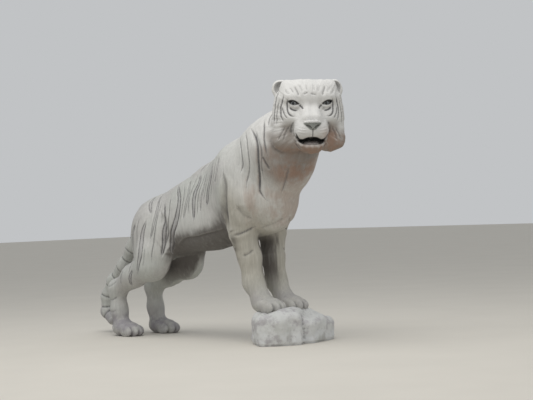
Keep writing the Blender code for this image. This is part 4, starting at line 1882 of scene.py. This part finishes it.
@dataclass(frozen=True)
class EyeGlaze:
    """A painted, glazed eye: dark pupil, pale grey iris with fine rays, ball in painted shade."""

    pupil: Colour = (0.006, 0.006, 0.007)
    iris: Colour = (0.3, 0.315, 0.32)
    iris_rim: Colour = (0.04, 0.04, 0.045)
    # painted shade: the off-white ball is painted dark grey, as the lids shade it
    ball: Colour = (0.15, 0.145, 0.14)
    pupil_edge: float = 0.22
    iris_edge: float = 0.42

    def material(self) -> Material:
        """Mix the finish.

        Returns:
            The material.
        """
        bench = Bench("eye_glaze")
        off = bench.mask("off_gaze")
        rays = bench.noise(bench.mask("rays", "Vector"), 0.06, 4.0, 0.7)
        ball = bench.shade(self.ball, 0.85 + 0.3 * bench.noise(bench.place(), 0.01))
        iris = bench.shade(self.iris, 0.55 + 0.9 * rays)
        rim = bench.step(off, self.iris_edge * 0.72, self.iris_edge)
        iris = bench.mix(rim, iris, self.iris_rim)
        colour = bench.mix(bench.step(off, self.iris_edge, self.iris_edge * 1.1), iris, ball)
        colour = bench.mix(
            bench.step(off, self.pupil_edge * 1.1, self.pupil_edge * 0.95), colour, self.pupil
        )
        grain = bench.noise(bench.place(), 0.003, 2.0)
        return bench.finish(
            base_color=colour,
            roughness=0.16 + 0.1 * grain,
            normal=bench.bump(grain, 0.0006, 0.2),
            coat_weight=0.4,
        )


@dataclass(frozen=True)
class Flesh:
    """The dull, dark brown-grey of the tongue."""

    tone: Colour = (0.33, 0.29, 0.275)

    def material(self) -> Material:
        """Mix the finish.

        Returns:
            The material.
        """
        bench = Bench("tongue_paint")
        where = bench.place()
        grain = bench.noise(where, 0.004, 3.0, 0.7)
        colour = bench.shade(self.tone, 0.7 + 0.5 * bench.noise(where, 0.03) + 0.2 * grain)
        return bench.finish(
            base_color=colour, roughness=0.62 + 0.15 * grain, normal=bench.bump(grain, 0.002, 0.5)
        )


@dataclass(frozen=True)
class RockStone:
    """The rock: light grey, blotched with darker purplish patches and a chalky foot."""

    light: Colour = (0.61, 0.615, 0.6)
    patch: Colour = (0.42, 0.405, 0.415)
    green: Colour = (0.48, 0.495, 0.46)
    chalk: Colour = (0.7, 0.715, 0.73)
    # dark grey of the painted shade in the rock's hollows
    groove: Colour = (0.12, 0.115, 0.11)
    # painted highlight on the rock's raised edges
    wear_and_highlight: Colour = (0.72, 0.72, 0.7)

    def material(self) -> Material:
        """Mix the finish.

        Returns:
            The material.
        """
        bench = Bench("cast_rock")
        where = bench.place()
        blotch = bench.noise(where, 0.11, 6.0, 0.62)
        broad = bench.noise(bench.stretch(where, (1.0, 1.0, 0.6)), 0.22, 3.0)
        sand = bench.noise(where, 0.005, 4.0, 0.7)
        colour = bench.mix(bench.step(blotch, 0.48, 0.62) * 0.85, self.light, self.patch)
        colour = bench.mix(bench.step(broad, 0.52, 0.66) * 0.6, colour, self.green)
        foot = bench.mask("foot") * bench.step(blotch, 0.62, 0.4)
        colour = bench.mix(foot * 0.7, colour, self.chalk)
        colour = bench.shade(colour, 0.84 + 0.22 * blotch + 0.14 * sand)
        crease = bench.mask("crease")
        # painted shade in the rock's hollows, then a painted highlight on its raised edges
        colour = bench.mix(bench.step(crease, 0.05, 0.6) * 0.6, colour, self.groove)
        colour = bench.mix(bench.step(crease, -0.1, -0.6) * 0.3, colour, self.wear_and_highlight)
        height = blotch * 0.9 + sand * 0.5 + bench.noise(where, 0.03, 4.0, 0.6) * 0.8
        return bench.finish(
            base_color=colour,
            roughness=0.86 + 0.1 * (blotch - 0.5),
            normal=bench.bump(height, 0.01, 0.8),
        )


@dataclass(frozen=True)
class FloorPaint:
    """A plain pale floor with hardly any tone in it."""

    tone: Colour = (0.62, 0.59, 0.53)

    def material(self) -> Material:
        """Mix the finish.

        Returns:
            The material.
        """
        bench = Bench("pale_floor")
        where = bench.place()
        colour = bench.shade(self.tone, 0.95 + 0.1 * bench.noise(where, 0.8, 4.0))
        return bench.finish(base_color=colour, roughness=0.9 + 0.05 * bench.noise(where, 0.05))


# ---------------- pieces


@dataclass
class Zones:
    """Which paint goes where: a share from 0 to 1 for each place of the skin."""

    head: Head
    points: Array
    normal: Array
    on_head: Array
    drift: float = 0.05
    drift_cell: float = 0.16

    def __post_init__(self) -> None:
        """Take the measures that gates are set on: of the tiger, its head and its skin."""
        x, y, z = self.points.T
        ahead, out, up = self.head.local(self.points).T
        front, left, top = self.normal.T
        wander = self.drift * Grain(5).rough(self.points, self.drift_cell)
        self.measures = {"x": x, "z": z, "ahead": ahead, "out": out, "down": -up}
        self.measures |= {"drift_x": x + wander, "drift_z": z + wander}
        self.measures |= {"climb": 0.8 * x + 0.6 * z + wander, "off_middle": np.abs(x)}
        self.measures |= {"wide": np.abs(out), "chin": -up + 0.2 * out}
        self.measures |= {"level": np.abs(top), "under": -top, "front": front}
        self.measures |= {"inward": -left * np.sign(y), "throat": -top + 0.4 * front}

    def gate(self, share: float = 1.0, **fades: tuple[float, ...]) -> Array:
        """Where every named measure lets paint through.

        Args:
            share: How much goes through at most.
            fades: Two numbers for each measure, from where nothing goes through to where all
                of it does; or four, and the last two are where it ends again.

        Returns:
            A share for each place.
        """
        for name, (low, high, *end) in fades.items():
            share = share * eased(self.measures[name], low, high)
            if end:
                share = share * (1.0 - eased(self.measures[name], *end))
        return share

    def nose(self) -> Array:
        """The bare nose.

        Returns:
            A share for each place.
        """
        nose = self.head.nose()
        near = nose.near(self.points)
        pad = np.zeros(len(self.points))
        pad[near] = 1.0 - eased(nose.distance(self.points[near]), 0.0005, 0.004)
        return pad * self.gate(down=(0.098, 0.105))

    def light(self) -> dict[str, Array]:
        """The pale and beige paint, painted light on the lower flank, and the rubbed paws' grey.

        Returns:
            The shares of each zone.
        """
        back = self.gate(0.6, climb=(0.74, 0.94)) + self.gate(0.4, climb=(1.02, 1.36))
        # painted light: the side-facing lower flank is painted paler, against its shade
        flank = self.gate(level=(0.8, 0.45), z=(0.4, 0.6, 0.74, 0.9))
        flank = flank * self.gate(0.45, x=(-0.6, -0.4, 0.2, 0.32))
        legs = self.gate(drift_x=(0.27, 0.36), drift_z=(1.0, 0.8))
        fore = self.gate(0.35, drift_x=(0.27, 0.36), z=(0.34, 0.25))
        return {
            "pale": np.maximum.reduce([back * 0.95, flank, self.on_head]),
            "beige": legs * (0.35 + self.gate(0.65, z=(0.22, 0.42))),
            "paw": self.gate(x=(-0.4, -0.5), z=(0.2, 0.1)) + fore,
        }

    def dark(self) -> dict[str, Array]:
        """Painted shade on the underside, inner legs, jaw and lower face, and the rust below it.

        Returns:
            The shares of each zone.
        """
        # painted shade on faces that look down under the belly, on the legs' inner faces and under
        # the jaw
        belly = self.gate(0.85, under=(0.1, 0.45), x=(-0.42, -0.3, 0.34, 0.44), z=(0.42, 0.5))
        legs = self.gate(inward=(0.1, 0.6), off_middle=(0.1, 0.18), z=(0.22, 0.42, 0.56, 0.64))
        legs = legs * self.gate(0.9, x=(-0.62, -0.52, 0.45, 0.5))
        jaw = self.gate(under=(0.15, 0.6), down=(0.2, 0.25), z=(0.85, 0.95))
        jaw = jaw * self.gate(0.55, ahead=(-0.16, -0.1))
        # painted shade: lower cheeks, beside the muzzle, lower head, and the neck under the ruff
        cheek = self.gate(down=(0.125, 0.185), ahead=(0.085, 0.055))
        beside = self.gate(0.8, wide=(0.096, 0.11, 0.135, 0.17), down=(0.08, 0.125))
        cheek = cheek + beside * self.gate(ahead=(-0.05, 0.0))
        hanging = self.gate(down=(0.2, 0.25, 0.36, 0.58), ahead=(-0.22, -0.1), x=(0.5, 0.62))
        hanging = np.maximum(hanging, self.on_head * self.gate(down=(0.19, 0.235)))
        chin = self.gate(chin=(0.17, 0.25), ahead=(-0.12, 0.0))
        chin = chin + self.gate(out=(0.02, 0.11), down=(0.1, 0.17), ahead=(-0.02, 0.03))
        throat = self.gate(x=(0.6, 0.72), throat=(0.2, 0.8), z=(0.8, 0.95))
        chest = self.gate(0.55, front=(0.35, 0.8), x=(0.42, 0.52), z=(0.58, 0.68))
        below = np.maximum(throat, chest) * (1.0 - self.on_head)
        return {
            "belly": np.maximum.reduce([belly, legs, jaw]),
            "head_shade": np.clip(cheek * self.on_head + hanging, 0.0, 1.0),
            "rust": np.clip(chin * self.on_head + below, 0.0, 1.0),
        }

    def keep(self, mesh: Mesh) -> None:
        """Store every zone's shares on the skin."""
        zones = {"head": self.on_head, "nose": self.nose(), **self.light(), **self.dark()}
        for name, share in zones.items():
            keep(mesh, name, share)


@dataclass
class TigerSkin:
    """The whole tiger but its eyes and tongue: one carved skin with no seam."""

    head: Head
    place: Place
    cells: tuple[float, ...] = (0.01, 0.0053)

    # The head, and the part of it that gets finer cells, in the head's frame.
    head_middle: Point = (-0.06, 0.0, -0.05)
    head_reach: Flat = (0.235, 0.3)
    fine_up: float = -0.07
    fine_reach: float = 0.25
    fine_back: float = -0.115
    fine_squash: float = 0.9

    # The fur: its height, and the cells that its noise has on the body and on the face.
    strokes: float = 0.0022
    body_hair: float = 0.032
    body_stretch: Point = (1.0, 1.0, 0.13)
    face_hair: float = 0.017
    fan_up: float = -0.1
    fan_radius: float = 0.17
    fan_slide: Flat = (0.11, 0.2)
    muzzle: Flat = (0.02, 0.09)
    ruff: Flat = (0.12, 0.2)
    above_paws: Flat = (0.05, 0.3)

    # How far dark paint and painted shade reach round the openings.
    rim: Flat = (0.0005, 0.005)
    lash: float = 0.0042
    lid_over: Flat = (-0.006, 0.006)
    lid_ahead: Flat = (0.0, 0.01)
    bowl_rim: Flat = (0.0005, 0.006)
    mouth_shade_rise: Flat = (-0.012, -0.002)
    pit_rim: Flat = (-0.001, 0.0035)

    # How bends of two sizes show: rounds of evening out, and the bend that counts in full.
    bends: tuple[tuple[int, float], ...] = ((3, 0.0016), (24, 0.006))
    bend_share: float = 0.6

    def form(self) -> Form:
        """The body that the skin covers.

        Returns:
            The form.
        """
        masses = Trunk().masses() + Neck().masses() + Tail().masses()
        for side, _ in SIDES:
            masses += Foreleg(side).masses() + Hindleg(side).masses()
        return Form(masses + self.head.masses(), self.head.hollows())

    def head_share(self, points: Array) -> Array:
        """How much each place belongs to the head, from 0 to 1."""
        ahead, out, up = (self.head.local(points) - np.array(self.head_middle)).T
        return 1.0 - eased(np.sqrt(ahead**2 + out**2 + up**2), *self.head_reach)

    def in_face(self, points: Array) -> Array:
        """Whether places belong to the part of the head that gets finer cells.

        Args:
            points: Places in the living tiger's metres.

        Returns:
            True for each place that does.
        """
        ahead, out, up = self.head.local(points).T
        off = np.sqrt((ahead * self.fine_squash) ** 2 + out**2 + (up - self.fine_up) ** 2)
        return (off < self.fine_reach) & (ahead > self.fine_back)

    def sweep(self, points: Array) -> Array:
        """Where places lie along the fur of the face, which fans out from the nose.

        Args:
            points: Places in the living tiger's metres.

        Returns:
            Where to read noise for each place.
        """
        ahead, out, up = self.head.local(points).T
        turn = np.arctan2(out, up - self.fan_up)
        along = np.hypot(out, up - self.fan_up) * self.fan_slide[0] + ahead * self.fan_slide[1]
        fan = (self.fan_radius * np.cos(turn), self.fan_radius * np.sin(turn), along)
        return np.stack(fan, axis=1)

    def coat(self, points: Array, head: Array) -> Array:
        """How high the carved fur stands at each place.

        Args:
            points: The skin's vertices.
            head: How much each belongs to the head.

        Returns:
            The rise, both ways from the skin.
        """
        grain = Grain(11)
        body = 1.7 * grain.rough(points * np.array(self.body_stretch), self.body_hair, 3)
        face = 1.2 * grain.rough(self.sweep(points), self.face_hair, 3)
        ahead, out, up = self.head.local(points).T
        ruff = 1.0 + 0.7 * eased(np.hypot(out, up - self.head_middle[2]), *self.ruff)
        face = face * head * (0.15 + 0.85 * (1.0 - eased(ahead, *self.muzzle))) * ruff
        rise = body * (1.0 - head) + face
        return self.strokes * rise * (0.35 + 0.65 * eased(points[:, 2], *self.above_paws))

    def dark_places(self, points: Array) -> Array:
        """How dark each place is at the openings: lid lines, and painted shade in the hollows.

        Args:
            points: The skin's vertices.

        Returns:
            A share from 0 to 1.
        """
        dark = np.zeros(len(points))

        def darken(hollow: Mass, paint: Callable[[Array, Array, Mass], Array]) -> None:
            """Darken the places near a hollow, by what is painted at each distance."""
            near = hollow.near(points)
            shade = paint(hollow.distance(points[near]), points[near], hollow)
            dark[near] = np.maximum(dark[near], shade)

        def eye_paint(gap: Array, spots: Array, opening: Slot) -> Array:
            """The lids' edges, darkest above the eye."""
            local = opening.local(spots)
            over = eased(local[:, 2], *self.lid_over)
            rim = 1.0 - eased(gap - self.lash * over, *self.rim)
            return rim * (0.65 + 0.35 * over) * eased(local[:, 0], *self.lid_ahead)

        def mouth_paint(gap: Array, spots: Array, mouth: Slot) -> Array:
            """Painted shade in the mouth, its floor lighter."""
            upper = 0.55 + 0.45 * eased(mouth.local(spots)[:, 2], *self.mouth_shade_rise)
            return (1.0 - eased(gap, *self.rim)) * upper

        def cut_paint(gap: Array, *_: Any) -> Array:
            """Painted shade in the cleft and the nostrils."""
            return (1.0 - eased(gap, *self.pit_rim)) * 0.9

        def bowl_paint(gap: Array, *_: Any) -> Array:
            """Painted shade in the ears' bowls, only a little darker."""
            return 0.40 * (1.0 - eased(gap, *self.bowl_rim))

        darken(self.head.mouth_opening(), mouth_paint)
        for side, _ in SIDES:
            darken(self.head.eye_opening(side), eye_paint)
            darken(self.head.ear_hollow(side), bowl_paint)
            for cut in self.head.nostril_cut(side) + self.head.lip_cleft():
                darken(cut, cut_paint)
        return dark

    def crease(self, mesh: Mesh) -> Array:
        """How hollow (above 0) or raised (below 0) each place is, from -1 to 1."""
        # hollows get painted shade, and raised places a painted highlight
        total = sum(bend(mesh, *size) * self.bend_share for size in self.bends)
        return np.clip(total, -1.0, 1.0)

    def stands_for(self) -> list[str]:
        """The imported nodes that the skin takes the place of."""
        paired = ("ear", "foreleg", "forepaw", "hindleg", "hindpaw")
        both = [f"{part}_{hand}" for _, hand in SIDES for part in paired]
        return ["head", "neck", "trunk", "tail_root", "tail_end", *both]

    def build(self) -> None:
        """Make, carve and paint the skin."""
        form = self.form()
        ob = cast("tiger_skin", form, self.cells)
        refine(ob, self.in_face)
        mesh = ob.data
        points = positions(mesh)
        fine = self.in_face(points)
        points[fine] = form.settle(points[fine], 3)
        put(mesh, points)
        normal = normals_of(mesh)
        carver = Carver(form, points)
        Markings(form, self.head).carve(carver)
        head = self.head_share(points)
        dark = self.dark_places(points)
        rise = carver.rise + self.coat(points, head) * (1.0 - dark)
        carved = points + rise[:, None] * normal
        carved[:, 2] = np.maximum(carved[:, 2], 0.0)
        put(mesh, self.place.world(carved))
        keep(mesh, "groove", carver.groove)
        keep(mesh, "stripe", carver.stripe)
        keep(mesh, "dark", dark)
        keep(mesh, "crease", self.crease(mesh))
        keep(mesh, "sweep", self.sweep(points) * self.place.growth)
        Zones(self.head, points, normals_of(mesh), head).keep(mesh)
        smooth_shaded(ob)
        finish_piece(ob, CastStone().material(), "stone_flank", *self.stands_for())


@dataclass
class Eye:
    """One eye: a ball with a slightly raised cornea."""

    head: Head
    place: Place
    side: int
    hand: str
    radius: float = 0.0355
    cornea: float = 0.0012
    cornea_reach: float = 0.5
    rings: int = 48
    spokes: int = 64
    gaze_turn: float = -6.0
    gaze_lift: float = -2.0
    ray_run: float = 0.25

    def build(self, glaze: Material) -> None:
        """Make and dress the eye.

        Args:
            glaze: The eye's finish.
        """
        form = bmesh.new()
        bmesh.ops.create_uvsphere(form, u_segments=self.spokes, v_segments=self.rings, radius=1.0)
        ob = placed(f"eyeball_{self.hand}", form)
        mesh = ob.data
        ball = positions(mesh)
        off = np.arctan2(np.hypot(ball[:, 0], ball[:, 1]), ball[:, 2])
        turn = np.arctan2(ball[:, 1], ball[:, 0])
        bulge = self.cornea * (1.0 - eased(off, 0.0, self.cornea_reach))
        heading = self.side * self.head.eye_turn + self.gaze_turn
        gaze = self.head.frame @ turned(about_y=self.gaze_lift, about_z=heading)
        axes = gaze @ turned(about_y=90.0)
        centre = self.head.point(EYE_BACK, self.side * EYE_OUT, 0.0)
        living = centre + (ball * (self.radius + bulge)[:, None]) @ axes.T
        put(mesh, self.place.world(living))
        keep(mesh, "off_gaze", off)
        rays = np.stack([np.cos(turn), np.sin(turn), off * self.ray_run], axis=1)
        keep(mesh, "rays", rays)
        smooth_shaded(ob)
        finish_piece(ob, glaze, "stone_eye", f"eye_{self.hand}")


@dataclass
class Tongue:
    """The tongue lies low in the open mouth."""

    head: Head
    place: Place
    parts: tuple[Ball, ...] = (
        Ball((0.062, 0.0, -0.2165), (0.052, 0.042, 0.0135), 0.01),
        Ball((0.02, 0.0, -0.212), (0.045, 0.038, 0.014), 0.02),
    )
    furrow: tuple[Station, ...] = ((0.015, 0.0, -0.1965, 0.002), (0.11, 0.0, -0.2055, 0.002))
    furrow_blend: float = 0.008
    cells: tuple[float, ...] = (0.004, 0.0025)
    bumps: float = 0.0006
    bump_cell: float = 0.008

    def build(self) -> None:
        """Make and dress the tongue."""
        body = [ball.on(self.head, 1) for ball in self.parts]
        form = Form(body, self.head.rod(self.furrow, self.furrow_blend))
        ob = cast("tongue", form, self.cells)
        points = positions(ob.data)
        rough = Grain(3).rough(points, self.bump_cell) * self.bumps
        put(ob.data, self.place.world(points + rough[:, None] * normals_of(ob.data)))
        smooth_shaded(ob)
        finish_piece(ob, Flesh().material(), "stone_pale")


@dataclass
class Rock:
    """The low rock under the forepaws, flat below."""

    place: Place
    cells: tuple[float, ...] = (0.01, 0.0055)
    foot_gap: float = 0.006
    foot_in: Flat = (0.004, 0.016)
    foot_paint: Flat = (0.02, 0.1)
    rough: float = 0.017
    rough_cell: float = 0.095
    above_foot: Flat = (0.0, 0.045)
    bend_rounds: int = 4
    full_bend: float = 0.003

    # Blocks: centre, half sizes, edge and turn. Mounds: centre, radii and blend.
    blocks: tuple[Row, ...] = (
        ((0.56, 0.01, 0.08), (0.105, 0.15, 0.1), 0.04, 5.0),
        ((0.602, -0.1, 0.072), (0.122, 0.125, 0.1), 0.04, -35.0),
        ((0.58, 0.11, 0.055), (0.15, 0.15, 0.08), 0.045, 15.0),
    )
    block_blend: float = 0.05
    mounds: tuple[Row, ...] = (
        ((0.6, -0.015, 0.165), (0.06, 0.06, 0.024), 0.04),
        ((0.665, -0.15, 0.11), (0.07, 0.06, 0.05), 0.05),
        ((0.635, -0.155, 0.06), (0.06, 0.05, 0.07), 0.05),
        ((0.64, 0.12, 0.11), (0.07, 0.08, 0.04), 0.04),
    )

    def form(self) -> Form:
        """Three blocks and a few mounds that rise to the paws."""
        blocks = [
            Boulder(centre, half, self.block_blend, turned(about_z=turn), edge)
            for centre, half, edge, turn in self.blocks
        ]
        return Form([*blocks, *(Ellipsoid(*mound) for mound in self.mounds)])

    def build(self) -> None:
        """Make and dress the rock."""
        ob = cast("carved_rock", self.form(), self.cells)
        mesh = ob.data
        points = positions(mesh)
        normal = normals_of(mesh)
        low = eased(points[:, 2], *self.above_foot)
        rise = self.rough * Grain(21).rough(points, self.rough_cell, 5) * (0.3 + 0.7 * low)
        foot = 1.0 - eased(points[:, 2], *self.foot_in)
        rise -= self.foot_gap * foot * (1.0 - np.abs(normal[:, 2]))
        points += rise[:, None] * normal
        points[:, 2] = np.maximum(points[:, 2], 0.0)
        put(mesh, self.place.world(points))
        crease = bend(mesh, self.bend_rounds, self.full_bend)
        keep(mesh, "crease", np.clip(crease, -1.0, 1.0))
        keep(mesh, "foot", 1.0 - eased(points[:, 2], *self.foot_paint))
        smooth_shaded(ob)
        finish_piece(ob, RockStone().material(), "stone_rock", "rock")


# ---------------- studio


@dataclass
class Studio:
    """A pale floor, soft light from above and a camera ahead of the tiger's right side."""

    place: Place
    eye: Point = (6.022, -5.381, 0.715)
    facing: float = 46.0
    pitch: float = 0.627
    roll: float = 2.1
    lens: float = 92.5
    floor_half: float = 60.0
    lit: Point = (0.2, 0.0, 1.1)

    def floor(self) -> None:
        """Lay the floor."""
        form = bmesh.new()
        bmesh.ops.create_grid(form, x_segments=8, y_segments=8, size=self.floor_half)
        ob = placed("floor", form)
        ob.data.materials.append(FloorPaint().material())

    def lamp(self, name: str, at: Point, size: float, power: float, tone: Colour) -> None:
        """Hang one square soft light that faces the statue.

        Args:
            name: Its name.
            at: Where it hangs.
            size: How wide it is.
            power: How bright, in watts.
            tone: Its colour.
        """
        light = bpy.data.lights.new(name, "AREA")
        light.shape = "SQUARE"
        light.size = size
        light.energy = power
        light.color = tone
        ob = bpy.data.objects.new(name, light)
        bpy.context.scene.collection.objects.link(ob)
        ob.location = at
        heading = Vector(self.lit) - Vector(at)
        ob.rotation_euler = heading.to_track_quat("-Z", "Y").to_euler()

    def camera(self) -> None:
        """Set up the camera."""
        data = bpy.data.cameras.new("view")
        data.sensor_width = 36.0
        data.lens = self.lens
        data.clip_end = 200.0
        turn = math.radians(self.facing)
        across = Vector((math.cos(turn), math.sin(turn), 0.0))
        level = Vector((-math.sin(turn), math.cos(turn), 0.0))
        lift = math.radians(self.pitch)
        ahead = level * math.cos(lift) + Vector((0.0, 0.0, math.sin(lift)))
        axes = Matrix((across, across.cross(ahead), -ahead)).transposed()
        axes = axes @ Matrix.Rotation(math.radians(-self.roll), 3, "Z")
        ob = bpy.data.objects.new("view", data)
        bpy.context.scene.collection.objects.link(ob)
        at = Vector(self.place.world(np.array(self.eye)))
        ob.matrix_world = Matrix.Translation(at) @ axes.to_4x4()
        bpy.context.scene.camera = ob

    def build(self) -> None:
        """Set up the whole studio."""
        self.floor()
        self.lamp("sky_panel", (1.5, -2.5, 7.5), 6.0, 330.0, (1.0, 0.985, 0.96))
        self.lamp("front_panel", (6.5, -3.5, 4.0), 4.0, 35.0, (1.0, 0.99, 0.97))
        self.camera()
        scene = bpy.context.scene
        scene.view_settings.view_transform = "Standard"
        world = bpy.data.worlds.new("overcast")
        world.use_nodes = True
        sky = world.node_tree.nodes["Background"]
        sky.inputs["Color"].default_value = (0.86, 0.88, 0.9, 1.0)
        sky.inputs["Strength"].default_value = 0.62
        scene.world = world


def main() -> None:
    """Build the statue's pieces in order, then the studio round them."""
    logging.basicConfig(level=logging.INFO, format="%(name)s %(message)s")
    head = Head()
    place = Place.from_frame(head)
    LOG.info("grown %.4f times", place.growth)
    Studio(place).build()
    TigerSkin(head, place).build()
    glaze = EyeGlaze().material()
    for side, hand in SIDES:
        Eye(head, place, side, hand).build(glaze)
    Tongue(head, place).build()
    Rock(place).build()


if __name__ == "__main__":
    main()
